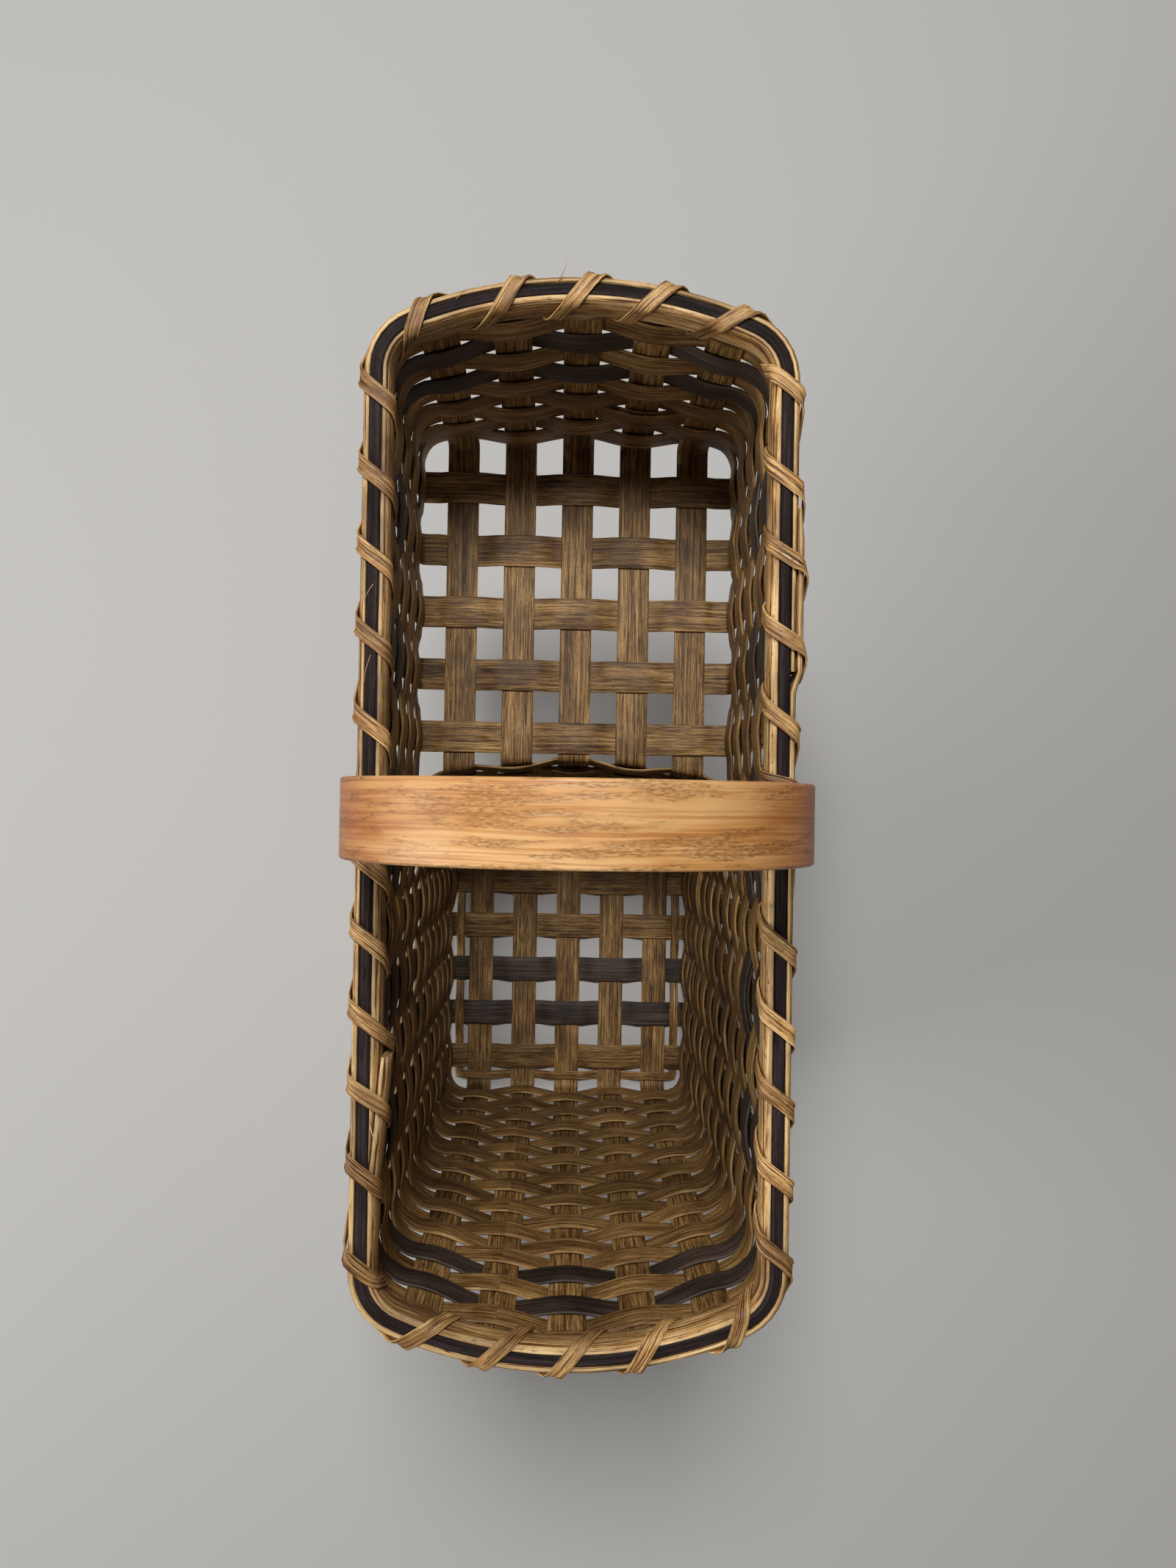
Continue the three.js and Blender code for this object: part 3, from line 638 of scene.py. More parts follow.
@dataclass(frozen=True)
class OiledOak:
    """Steam-bent oak, sanded and oiled: golden, with rows of brown pores drawn out along the bow.

    The eye sees each growth ring as a broken brown dash with feathered ends, over a cream ground
    that turns to honey in broad patches. Painted shade turns it a deeper orange-brown towards the
    ends of the bow, where its faces turn away from the light, and leaves the crown pale.
    """

    name: str = "steam_bent_oak"
    pale: int = 0xEBBB7F
    middle: int = 0xDEA766
    dark: int = 0xCB8F4E
    pore: int = 0x84552A
    # Painted shade: the deeper orange-brown of the bow's shaded ends.
    painted_shade_amber: int = 0xBE8836
    cloud_tint: int = 0xD9C3A8
    line_tint: int = 0xC79A6A
    dash_mm: float = 1.5
    dash_length_mm: float = 24.0
    dash_share: float = 0.75
    zone_share: float = 0.7
    cloud_share: float = 0.5
    line_share: float = 0.6
    relief_mm: float = 0.1
    relief_strength: float = 0.5
    warp_mm: Place = (6.0, 1.5, 0.0)
    warp_scale: Place = (1 / 70, 1 / 22, 1)
    roughness: float = 0.42

    def build(self) -> bpy.types.Material:
        """Build the material, read from the bow's own map of millimetres along and across.

        Returns:
            The material.
        """
        nodes = Nodes(self.name)
        strip = nodes.add("UVMap", {}, uv_map="strip_mm")
        tone = nodes.add("Attribute", {}, "Fac", attribute_name="tone")
        wander = nodes.add("Mapping", {"Vector": strip, "Scale": self.warp_scale})
        warp = nodes.add("TexNoise", {"Vector": wander, "Scale": 1.0, "Detail": 3.0}, "Color")
        bent = nodes.add("VectorMath", {0: warp, 1: self.warp_mm, 2: strip}, operation="MULTIPLY_ADD")
        # Length and width in millimetres, finer layers and offset.
        rings, zones, pores, honey, lines = (nodes.grain(bent, *size) for size in (
            (self.dash_length_mm, self.dash_mm, 3.0), (130.0, 4.6, 1.0, 3.0), (2.2, 0.3, 2.0, 7.0),
            (60.0, 5.0, 4.0, 5.0), (90.0, 0.55, 4.0, 13.0),
        ))
        cloud = nodes.grain(strip, 60.0, 26.0, 2.0, 9.0)
        ground = ((0.34, self.dark), (0.47, self.middle), (0.60, self.pale))
        colour = nodes.add("ValToRGB", {"Fac": honey}, stops=ground)
        colour = nodes.stain(colour, self.cloud_share, cloud, ((0.36, self.cloud_tint), (0.58, WHITE)))
        colour = nodes.stain(colour, self.line_share, lines, ((0.38, self.line_tint), (0.54, WHITE)))
        level = nodes.add("Math", {0: zones, 1: self.zone_share, 2: rings}, operation="MULTIPLY_ADD")
        dashes = nodes.add("ValToRGB", {"Fac": level}, stops=((0.75, WHITE), (0.83, BLACK)))
        mask = nodes.stain(dashes, 1.0, pores, ((0.36, WHITE), (0.62, 0x606060)))
        colour = nodes.cover(colour, self.dash_share, mask, self.pore)
        relief = {"Height": mask, "Strength": self.relief_strength, "Distance": self.relief_mm * MM}
        # Painted shade: where the tone is low, at the bow's ends, the colour is multiplied towards a deeper
        # orange-brown.
        return nodes.finish({
            "Base Color": nodes.stain(colour, 1.0, tone, ((0.0, self.painted_shade_amber), (1.0, WHITE))),
            "Normal": nodes.add("Bump", relief, invert=True),
            "Roughness": self.roughness, "IOR": WOOD_IOR,
        })


@dataclass(frozen=True)
class PalePaint:
    """Matt pale floor, even and shadow-catching."""

    name: str = "pale_floor_paint"
    colour: int = 0xC6C4C1
    roughness: float = 0.85

    def build(self) -> bpy.types.Material:
        """Return the material."""
        return Nodes(self.name).finish({"Base Color": linear(self.colour), "Roughness": self.roughness})


FINISHES: dict[str, StainedReed | OiledOak] = {
    "natural_reed": StainedReed(
        "stained_flat_reed", 0xD8AF70, 0x8E6632, 0x5B3D1A, 0x321D0A, fibre_mm=0.4, fibre_length_mm=14.0,
        contrast=1.15,
    ),
    "dyed_reed": StainedReed(
        "dyed_flat_reed", 0x6E5D4F, 0x44372E, 0x2E2620, 0x181310, pale_share=0.3, edge_share=0.15,
    ),
    "rim_reed": StainedReed(
        "half_oval_rim_reed", 0xF3D199, 0xC9954E, 0x885426, 0x40230B, fibre_mm=0.45, edge_share=0.55,
        bundle_share=0.45, contrast=1.8,
    ),
    "filler_reed": StainedReed(
        "dyed_filler_reed", 0x4A3B3A, 0x2C2221, 0x1D1615, 0x0D0A0A, roughness=0.8, sheen=0.2,
        pale_share=0.25, edge_share=0.0,
    ),
    "lashing_reed": StainedReed(
        "flat_lashing_reed", 0xF1CA8C, 0xC18A47, 0x7F4F22, 0x3A200B, fibre_mm=0.45, fibre_length_mm=19.0,
        edge_share=0.35, bundle_share=0.35, contrast=1.7,
    ),
    "oak": OiledOak(),
}


# Strips

@dataclass
class Station:
    """One place on a strip: its middle, and unit directions across it and out of its broad face.

    The shade is the brightness of the strip here against the rest of it: the weavers' own changes of
    tone, and painted light and shade on the inner rim and the handle.
    """

    point: Vector
    across: Vector
    out: Vector
    width: float
    thick: float
    shade: float = 1.0


class Profile(Enum):
    """The sections that strips are drawn with."""

    FLAT = "flat reed with softened edges"
    DOMED = "rim strip, flat against the wall and domed away from it, with thin edges"
    RIBBED = "flat oval reed with ribs along it"
    BOW = "handle with rounded edges"


def section(profile: Profile, width: float, thick: float) -> Marks:
    """Work out the corners of a section.

    Args:
        profile: Which section.
        width: Its full width.
        thick: Its full thickness.

    Returns:
        The corners in order round it, as distances across the strip and out of its broad face.
    """
    w, t = width / 2, thick / 2
    if profile is Profile.DOMED:
        # The edge is thin, as half-round reed is, and the dome is fuller than a half circle.
        steps, thin, power = 10, 0.3, 0.8
        foot_width, foot_height = 0.97, -0.85
        turns = [math.pi * i / steps for i in range(1, steps)]
        dome = [(w * math.cos(a), t * (2 * (thin + (1 - thin) * math.sin(a) ** power) - 1)) for a in turns]
        right = [(w * foot_width, -t), (w, foot_height * t), (w, t * (2 * thin - 1))]
        return [*right, *dome, *[(-x, y) for x, y in reversed(right)], (0.0, -t)]
    if profile is Profile.RIBBED:
        # Seven ribs go round the reed, and powers below 1 square its oval up.
        steps, ribs, groove, power_across, power_out = 28, 7, 0.035, 0.62, 0.72
        ring = []
        for a in [2 * math.pi * i / steps for i in range(steps)]:
            rib = 1.0 - groove * (1 + math.cos(ribs * a))
            u = math.copysign(abs(math.cos(a)) ** power_across, math.cos(a))
            v = math.copysign(abs(math.sin(a)) ** power_out, math.sin(a))
            ring.append((w * rib * u, t * rib * v))
        return ring
    if profile is Profile.FLAT:
        # How far each corner of the softened edge is from the side and the middle, in half thicknesses.
        softened = ((0.0, 0.25), (0.35, 0.8), (1.1, 1.0))
        right = [(w - inward * t, height * t) for inward, height in softened]
    else:
        thick_share, width_share, turns = 0.34, 0.3, (0.0, 0.4, 0.8, 1.2, 1.57)
        r = min(t * thick_share, w * width_share)
        right = [(w - r + r * math.cos(a), t - r + r * math.sin(a)) for a in turns]
    right.append((w / 3, t))
    top = right + [(-x, y) for x, y in reversed(right)]
    return top + [(-x, -y) for x, y in top]


def loft(name: str, stations: Sequence[Station], profile: Profile, closed: bool, tone: float) -> Piece:
    """Make a strip by laying a grid along its stations and rolling it up into the section.

    Args:
        name: Name of the piece.
        stations: The places along the strip, with lengths in millimetres.
        profile: The section.
        closed: Whether the strip joins up with its own start.
        tone: Brightness of this strip against its neighbours.

    Returns:
        The new object, at the origin, in metres.
    """
    rings, edges, steps, girth = [], [], [0.0], [0.0]
    for place in stations:
        corners = section(profile, place.width, place.thick)
        rings.append([(place.point + place.across * u + place.out * v) * MM for u, v in corners])
        edges.append([abs(u) / (place.width / 2) for u, _ in corners])
    path = [*stations, stations[0]] if closed else stations
    for before, after in zip(path, path[1:]):
        steps.append(steps[-1] + (after.point - before.point).length)
    for here, there in zip(rings[0], rings[0][1:] + rings[0][:1]):
        girth.append(girth[-1] + (here - there).length / MM)
    count, size, along = len(rings), len(rings[0]), len(path) - 1
    builder = bmesh.new()
    bmesh.ops.create_grid(builder, x_segments=along, y_segments=size, size=1.0)
    uv = builder.loops.layers.uv.new("strip_mm")
    edge_layer = builder.verts.layers.float.new("edge")
    tone_layer = builder.verts.layers.float.new("tone")
    where = {v: (round((v.co.x + 1) / 2 * along), round((v.co.y + 1) / 2 * size)) for v in builder.verts}
    shift = random.uniform(0, MAP_SHIFT)
    for face in builder.faces:
        for corner in face.loops:
            i, j = where[corner.vert]
            corner[uv].uv = (steps[i] + shift, girth[j] + shift * MAP_SLANT)
    for vertex, (i, j) in where.items():
        vertex.co = rings[i % count][j % size]
        vertex[edge_layer] = edges[i % count][j % size]
        # The tone layer is the strip's own tone times its stations' shade, which holds painted light and
        # shade on the inner rim and the handle.
        vertex[tone_layer] = tone * stations[i % count].shade
    bmesh.ops.remove_doubles(builder, verts=builder.verts, dist=MERGE)
    if not closed:
        bmesh.ops.holes_fill(builder, edges=builder.edges, sides=size)
    bmesh.ops.recalc_face_normals(builder, faces=builder.faces)
    for face in builder.faces:
        face.smooth = len(face.verts) == 4
    mesh = bpy.data.meshes.new(name)
    builder.to_mesh(mesh)
    builder.free()
    piece = bpy.data.objects.new(name, mesh)
    bpy.context.scene.collection.objects.link(piece)
    return piece


def travel(points: Sequence[Vector], i: int) -> Vector:
    """Return the way from the point before a place on a path to the point after it."""
    return points[min(i + 1, len(points) - 1)] - points[max(i - 1, 0)]


def framed(places: Places, width: float, thick: float) -> list[Station]:
    """Turn places with their across directions into stations that face square to the path.

    Args:
        places: Points with directions across the strip.
        width: Width of the strip.
        thick: Thickness of the strip.

    Returns:
        The stations.
    """
    points = [point for point, _ in places]
    return [
        Station(point, across, travel(points, i).cross(across).normalized(), width, thick)
        for i, (point, across) in enumerate(places)
    ]


def rounded(keys: Sequence[Vector], radius: float, steps: int = 4, share: float = 0.45) -> list[Vector]:
    """Round the corners of a path.

    Args:
        keys: The path's corners.
        radius: How far from a corner its rounding begins, where the legs are long enough.
        steps: Pieces in each rounded corner.
        share: The most of a leg that one rounding may take.

    Returns:
        The points of the rounded path.
    """
    points, shares = [keys[0].copy()], [i / steps for i in range(steps + 1)]
    for before, key, after in zip(keys, keys[1:], keys[2:]):
        start = key + (before - key).normalized() * min(radius, (before - key).length * share)
        stop = key + (after - key).normalized() * min(radius, (after - key).length * share)
        points += [start.lerp(key, t).lerp(key.lerp(stop, t), t) for t in shares]
    return [*points, keys[-1].copy()]


@dataclass
class Wander:
    """A slow, seeded wobble, as no strip is quite straight.

    It adds up a few sine waves, each with its own rate against the wobble's wave and its own phase.
    """

    seed: int
    size: float
    wave: float
    count: int = 3
    rates: tuple[float, float] = (0.6, 1.7)
    phases: tuple[float, float] = (0.0, 6.28)
    turn: float = 6.283

    def __post_init__(self) -> None:
        """Choose the rates and phases."""
        chance = random.Random(self.seed)
        self.terms = [
            (chance.uniform(*self.rates), chance.uniform(*self.phases)) for _ in range(self.count)
        ]

    def at(self, run: float) -> float:
        """Return the wobble at a distance along the strip."""
        angles = [run * rate * self.turn / self.wave + phase for rate, phase in self.terms]
        return self.size * sum(math.sin(angle) for angle in angles) / 2


@dataclass
class Maker:
    """Makes each piece of strip, seats it on the basket's one body and reports it."""

    tone_seed: int = 11
    materials: dict[str, bpy.types.Material] = field(default_factory=dict)

    def __post_init__(self) -> None:
        """Start the seeded chance that gives each strip its tone."""
        self.chance = random.Random(self.tone_seed)

    def tone(self, spread: float = 0.13) -> float:
        """Return the brightness of the next strip."""
        return 1.0 + self.chance.uniform(-spread, spread)

    def make(self, name: str, slot: str, stations: Sequence[Station], tone: float, node: str | None = None,
             profile: Profile = Profile.FLAT, closed: bool = False) -> Piece:
        """Make a piece.

        Args:
            name: Name of the piece.
            slot: The record's material slot.
            stations: The places along it.
            tone: Its brightness against its neighbours.
            node: The node of the construction model that it stands for, if any.
            profile: Its section.
            closed: Whether it joins up with its own start.

        Returns:
            The piece.
        """
        piece = loft(name, stations, profile, closed, tone)
        if slot not in self.materials:
            self.materials[slot] = FINISHES[slot].build()
        piece.data.materials.append(self.materials[slot])
        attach(piece, "root")
        if node:
            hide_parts(node)
        log.info("%s: %d faces", name, len(piece.data.polygons))
        return piece


@dataclass
class Stakes:
    """The long stakes and cross stakes that make both floors and stand up in the walls."""

    walls: Walls
    maker: Maker
    wall_step: float = 12.0
    bend_steps: int = 6
    floor_step: float = 2.0
    shade: float = 0.94
    lock_width: float = 5.5
    lock_thick: float = 1.0
    lock_x: float = 72.25
    lock_foot: float = 6.05
    lock_clear: float = 0.2
    dark_lower: tuple[int, ...] = (3, 4)

    def _climb(self, end: End, x: float, from_z: float, to_z: float) -> Places:
        """Follow a long stake on an end wall.

        Args:
            end: The wall.
            x: The stake's place across the basket.
            from_z: Height of the first place.
            to_z: Height of the last place.

        Returns:
            Places along the stake, with their across directions.
        """
        steps = max(2, round(abs(to_z - from_z) / self.wall_step))
        wall = self.walls.ends[end]
        places = []
        for i in range(steps + 1):
            z = lerp(from_z, to_z, i / steps)
            radius = wall.radius(z)
            angle = math.asin(x / radius)
            dip = -(self.walls.stake_width / 2) ** 2 / radius / 2
            across = Vector((math.cos(angle), -wall.face * math.sin(angle), 0))
            places.append((self.walls.on_end(end, x)(z, dip), across))
        return places

    def _quarter(self, bend: float) -> Marks:
        """Return how far in and how far down each step of a bend from a wall to a floor lies."""
        turns = [i * math.pi / 2 / self.bend_steps for i in range(1, self.bend_steps + 1)]
        return [(bend * (1 - math.cos(turn)), bend * math.sin(turn)) for turn in turns]

    def _bend(self, wall_place: tuple[Vector, Vector], inward: int, rise: int, bend: float) -> Places:
        """Follow a long stake round the bend between a wall and a floor.

        Args:
            wall_place: The last place on the wall.
            inward: Which way the floor runs from the wall, 1 or -1.
            rise: 1 where the wall goes up from the floor, -1 where it goes down.
            bend: Radius of the bend.

        Returns:
            Places from the wall to the floor, with their across directions.
        """
        point, across = wall_place
        return [
            (Vector((point.x, point.y + inward * along, point.z - rise * down)),
             across.lerp(X, (i + 1) / self.bend_steps).normalized())
            for i, (along, down) in enumerate(self._quarter(bend))
        ]

    def _floor(self, start: Places, stop: Places) -> Places:
        """Follow a long stake over a flat floor.

        Args:
            start: Places of the bend before the floor.
            stop: Places of the bend after it.

        Returns:
            Both bends, with evenly spaced places between them.
        """
        (start_at, _), (stop_at, _) = start[-1], stop[0]
        steps = max(2, round((stop_at - start_at).length / self.wall_step))
        return [*start, *[(start_at.lerp(stop_at, i / steps), X) for i in range(1, steps)], *stop]

    def long_stake(self, i: int) -> Piece:
        """Build a long stake, down the shallow end, over both floors and up the front.

        Args:
            i: Which stake, counted from the left.

        Returns:
            The piece.
        """
        walls, x = self.walls, self.walls.long_x(i)
        foot = walls.floor_mid + walls.end_bend
        back = self._climb(End.SHALLOW, x, walls.stake_top, walls.step_mid + walls.shallow_bend)
        riser = self._climb(End.RISER, x, walls.step_mid - walls.riser_top_bend, foot)
        front = self._climb(End.FRONT, x, foot, walls.stake_top)
        places = [
            *back,
            *self._floor(
                self._bend(back[-1], -1, 1, walls.shallow_bend),
                self._bend(riser[0], 1, -1, walls.riser_top_bend)[::-1],
            ),
            *riser,
            *self._floor(
                self._bend(riser[-1], -1, 1, walls.end_bend),
                self._bend(front[0], 1, 1, walls.end_bend)[::-1],
            ),
            *front,
        ]
        name = f"long_stake_{i + 1:02d}"
        stations = framed(places, walls.stake_width, walls.stake_thick)
        return self.maker.make(f"{name}_reed", "natural_reed", stations, self.shade * self.maker.tone(), name)

    def _floor_level(self, x: float, mid: float, over_from: int) -> float:
        """Find a cross stake's level as it passes over and under the long stakes.

        Args:
            x: Distance across the basket.
            mid: Height of the middle of the floor.
            over_from: 0 to pass over the first long stake, 1 to pass under it.

        Returns:
            The height of the stake's middle.
        """
        walls = self.walls
        edge = self.lock_x - self.lock_width / 2 - self.lock_clear
        if abs(x) >= edge:
            return mid
        marks = [(-edge, mid)]
        for i in range(walls.long_count):
            level = mid + (walls.floor_step if i % 2 == over_from else -walls.floor_step)
            marks += [(walls.long_x(i) + reach, level) for reach in (-walls.stake_reach, walls.stake_reach)]
        return eased([*marks, (edge, mid)], x)

    def cross_stake(self, name: str, y_at: Callable[[float], float], floor_z: float, over_from: int,
                    slot: str) -> Piece:
        """Build a cross stake, down one side wall, across a floor and up the other side wall.

        Args:
            name: The node that it stands for.
            y_at: Its place along the basket at a height.
            floor_z: The underside of the floor.
            over_from: 0 to pass over the first long stake, 1 to pass under it.
            slot: The material slot.

        Returns:
            The piece.
        """
        walls, y = self.walls, y_at(floor_z)
        mid = floor_z + walls.floor_mid
        foot_z = mid + walls.side_bend
        steps = round((walls.stake_top - foot_z) / self.wall_step)
        levels = [lerp(walls.stake_top, foot_z, i / steps) for i in range(steps + 1)]
        right = [Vector((walls.side_x(z), y_at(z), z)) for z in levels]
        foot_x = right[-1].x
        bend = self._quarter(walls.side_bend)
        right += [Vector((foot_x - along, y, foot_z - down)) for along, down in bend]
        edge = right[-1].x
        count = round(2 * edge / self.floor_step)
        across = [lerp(-edge, edge, i / count) for i in range(1, count)]
        floor = [Vector((x, y, self._floor_level(x, mid, over_from))) for x in across]
        left = [Vector((-point.x, point.y, point.z)) for point in right]
        places = [(point, Y) for point in (*left, *floor, *right[::-1])]
        stations = framed(places, walls.stake_width, walls.stake_thick)
        return self.maker.make(f"{name}_reed", slot, stations, self.shade * self.maker.tone(), name)

    def lock_row(self) -> Piece:
        """Build the narrow row woven flat round the edge of the lower floor.

        Returns:
            The piece.
        """
        walls, half = self.walls, self.lock_width / 2
        lift = walls.stake_thick / 2 + walls.touch + self.lock_thick / 2
        front_y = walls.ends[End.FRONT].foot_y + self.lock_foot + half
        back_y = walls.ends[End.RISER].foot_y - self.lock_foot - half
        plan = ((-1, front_y), (1, front_y), (1, back_y), (-1, back_y))
        corners = [Vector((face * self.lock_x, y, 0)) for face, y in plan]
        starts = [0.0]
        for here, there in zip(corners, corners[1:] + corners[:1]):
            starts.append(starts[-1] + (there - here).length)
        passed = []
        for i in range(walls.long_count):
            passed.append((starts[0] + walls.long_x(i) + self.lock_x, (-1) ** i))
            passed.append((starts[2] + self.lock_x - walls.long_x(i), (-1) ** (i + 1)))
        for i in range(walls.lower_count):
            passed.append((starts[1] + walls.lower_y(i) - front_y, (-1) ** i))
            passed.append((starts[3] + back_y - walls.lower_y(i), (-1) ** i))
        edges = [(at + edge * walls.stake_reach, sign * lift) for at, sign in passed for edge in (-1, 1)]
        marks = joined_up(edges, starts[-1])
        stations = []
        count = round(starts[-1] / self.floor_step)
        for i in range(count):
            s = starts[-1] * i / count
            leg = max(k for k in range(4) if starts[k] <= s)
            here, there = corners[leg], corners[(leg + 1) % 4]
            point = here.lerp(there, (s - starts[leg]) / (starts[leg + 1] - starts[leg]))
            near = min(s - starts[leg], starts[leg + 1] - s)
            way = (there - here).normalized()
            out = Vector((way.y, -way.x, 0))
            if near < half:
                other = leg - 1 if s - starts[leg] < self.lock_width else (leg + 1) % 4
                beside = (corners[(other + 1) % 4] - corners[other]).normalized()
                out = out.lerp(Vector((beside.y, -beside.x, 0)), 0.5 * (1 - near / half)).normalized()
            point += Vector((0, 0, walls.floor_mid + eased(marks, s)))
            stations.append(Station(point, out, Z, self.lock_width, self.lock_thick))
        node = "base_lock_row"
        return self.maker.make(f"{node}_reed", "natural_reed", stations, self.maker.tone(), node, closed=True)

    def build(self) -> None:
        """Build every stake."""
        walls = self.walls
        for i in range(walls.long_count):
            self.long_stake(i)
        for i in range(walls.lower_count):
            name = f"lower_cross_stake_{i + 1:02d}"
            slot = "dyed_reed" if i in self.dark_lower else "natural_reed"
            self.cross_stake(name, lambda z, i=i: walls.lower_y(i), 0.0, i % 2, slot)
        for i in range(walls.upper_count):
            name = f"upper_cross_stake_{i + 1:02d}"
            self.cross_stake(name, lambda z, i=i: walls.upper_y(i, z), walls.step, i % 2, "natural_reed")
        self.lock_row()


@dataclass
class Weavers:
    """The rows that go round the walls, in and out of the stakes."""

    walls: Walls
    maker: Maker
    step: float = 3.0
    dark_upper: tuple[int, ...] = (5, 7)
    rim_row_width: float = 14.0
    row_clear: float = 0.8
    front_packed: float = 0.55
    far_packed: float = 0.4
    brighter: float = 1.06
    tone_spread: float = 0.16
    lift: float = 0.16
    lift_waves: int = 3
    shade: float = 0.09
    shade_waves: int = 7
    swell: float = 0.5
    rise: float = 1.4
    wide_gap: float = 31.5
    hug: float = 5.0
    hug_share: float = 0.55
    bulge: tuple[float, float] = (0.0, 0.35)
    long_bulge: float = 1.4
    least_swing: float = 0.5
    longest_lap: float = 70.0
    lap_clear: float = 3.0
    lap_taper: float = 5.0
    lap_narrower: float = 0.6
    lap_slip: tuple[float, float] = (-0.6, 0.9)
    lap_beyond: tuple[float, float] = (0.4, 1.0)
    lap_thick: tuple[float, float] = (0.3, 0.9)

    def _marks(self, ring: Ring, crossings: Sequence[Crossing], chance: random.Random) -> Marks:
        """Return how far out a row lies along its ring, so that it swings past each stake.

        Args:
            ring: The row's path.
            crossings: The stakes that the row passes.
            chance: The row's own seeded chance.

        Returns:
            Marks of distance along the ring and distance out.
        """
        walls, marks = self.walls, []
        for before, crossing, after in threes(crossings):
            face = -1 if crossing.inside else 1
            out = crossing.thick / 2 + walls.touch + walls.weaver_thick / 2
            following = (after.at - crossing.at) % ring.length
            near = min((crossing.at - before.at) % ring.length, following)
            swing = math.cos(math.pi * crossing.half / near)
            if crossing.inside in (before.inside, after.inside) or swing < self.least_swing:
                reach = crossing.half + walls.edge_ease
                marks += [
                    (crossing.at - reach, face * out), (crossing.at, face * (out + self.long_bulge)),
                    (crossing.at + reach, face * out),
                ]
            else:
                marks.append((crossing.at, face * (out / swing + chance.uniform(*self.bulge))))
            if following > self.wide_gap and crossing.inside != after.inside:
                marks += [
                    (crossing.at + crossing.half + self.hug, face * self.hug_share * out),
                    (after.at - after.half - self.hug, -face * self.hug_share * out),
                ]
        return joined_up(marks, ring.length)

    def row(self, name: str, far: End, k: int, low_front: float, low_far: float, width: float,
            slot: str = "natural_reed") -> Piece:
        """Build one row.

        Args:
            name: The node that it stands for.
            far: The end wall opposite the front.
            k: The row's number from its foot, which says on which side of the stakes it starts.
            low_front: Height of its lower edge at the front.
            low_far: Height of its lower edge at the far wall.
            width: Width of the weaver.
            slot: The material slot.

        Returns:
            The piece.
        """
        walls, seed = self.walls, sum(map(ord, name))
        ring = Ring(walls, far, (low_front + low_far + width) / 2)
        tail_tip = walls.rim_bottom - walls.tail_length
        with_tail = far is End.SHALLOW and low_front + walls.weaver_width > tail_tip
        crossings = ring.crossings(k % 2 == 1, with_tail)
        chance = random.Random(seed)
        marks = self._marks(ring, crossings, chance)
        front_y, far_y = walls.ends[End.FRONT].foot_y, walls.ends[far].foot_y
        lift = Wander(seed, self.lift, ring.length / self.lift_waves)
        shade = Wander(seed + 1, self.shade, ring.length / self.shade_waves)
        thick = walls.weaver_thick + self.swell
        count = round(ring.length / self.step)
        start = marks[0][0]

        def station(s: float, beyond: float = 0.0, layer: float = thick) -> Station:
            """Find the row, or a layer that lies beyond its middle, at a distance along it.

            Args:
                s: The distance.
                beyond: How far out the layer lies.
                layer: Thickness of the layer.

            Returns:
                The station there.
            """
            s = start + (s - start) % ring.length
            out = eased(marks, s) + beyond
            spot = ring.spot(s)
            share = (spot(ring.z, 0).y - front_y) / (far_y - front_y)
            low = lerp(low_front, low_far, share) + lift.at(s - start)
            bottom, top = spot(low, out), spot(low + width, out)
            outward = (spot(low, out + 1) - bottom).normalized()
            return Station(
                (bottom + top) / 2, (top - bottom).normalized(), outward, width + self.rise, layer,
                1.0 + shade.at(s - start),
            )

        stations = [station(start + ring.length * i / count) for i in range(count)]
        tone = self.brighter * self.maker.tone(self.tone_spread)
        piece = self.maker.make(f"{name}_reed", slot, stations, tone, name, closed=True)
        self.lap(f"{name}_lap", slot, station, crossings, ring.length, chance)
        return piece

    def lap(self, name: str, slot: str, station: Callable[[float, float, float], Station],
            crossings: Sequence[Crossing], length: float, chance: random.Random) -> Piece:
        """Build the end of a row where it overlaps its own start, over one stake.

        Args:
            name: Name of the piece.
            slot: The material slot.
            station: The row's stations by distance, distance beyond its middle and thickness.
            crossings: The stakes that the row passes.
            length: Length of the row.
            chance: The row's own seeded chance, which picks the stake.

        Returns:
            The piece.
        """
        spans = []
        for before, crossing, after in threes(crossings):
            span = (after.at - before.at) % length
            if crossing.inside not in (before.inside, after.inside) and span < self.longest_lap:
                spans.append((before.at, span, -1 if crossing.inside else 1))
        start, span, face = chance.choice(spans)
        thick = self.walls.weaver_thick + self.swell
        slip = chance.uniform(*self.lap_slip)
        count = round((span - 2 * self.lap_clear) / self.step)
        stations = []
        for i in range(count + 1):
            rise = min(ease(self.lap_taper * i / count), ease(self.lap_taper * (1 - i / count)))
            run = start + self.lap_clear + (span - 2 * self.lap_clear) * i / count
            beyond = face * thick * lerp(*self.lap_beyond, rise)
            place = station(run, beyond, thick * lerp(*self.lap_thick, rise))
            place.point += place.across * slip
            place.width -= self.lap_narrower
            stations.append(place)
        return self.maker.make(name, slot, stations, self.brighter * self.maker.tone(self.tone_spread))

    def build(self) -> None:
        """Build every row, from the lower floor to the rim."""
        walls, width = self.walls, self.walls.weaver_width
        foot, step = walls.foot_top, walls.front_upper_foot
        lower = (step - self.row_clear - foot - width) / (walls.lower_rows - 1)
        upper = (walls.upper_rows_top - step - width) / (walls.upper_rows - 1) - self.front_packed
        for k in range(walls.lower_rows):
            self.row(
                f"lower_row_{k + 1:02d}", End.RISER, k, foot + k * lower, foot + k * walls.riser_pitch, width,
            )
        for k in range(walls.upper_rows):
            self.row(
                f"upper_row_{k + 1:02d}", End.SHALLOW, k, step + k * upper,
                walls.upper_foot + k * (walls.shallow_pitch - self.far_packed), width,
                "dyed_reed" if k in self.dark_upper else "natural_reed",
            )
        low = walls.filler_mid - walls.filler_height / 2 - self.rim_row_width - self.row_clear
        self.row("rim_row", End.SHALLOW, walls.upper_rows, low, low, self.rim_row_width)


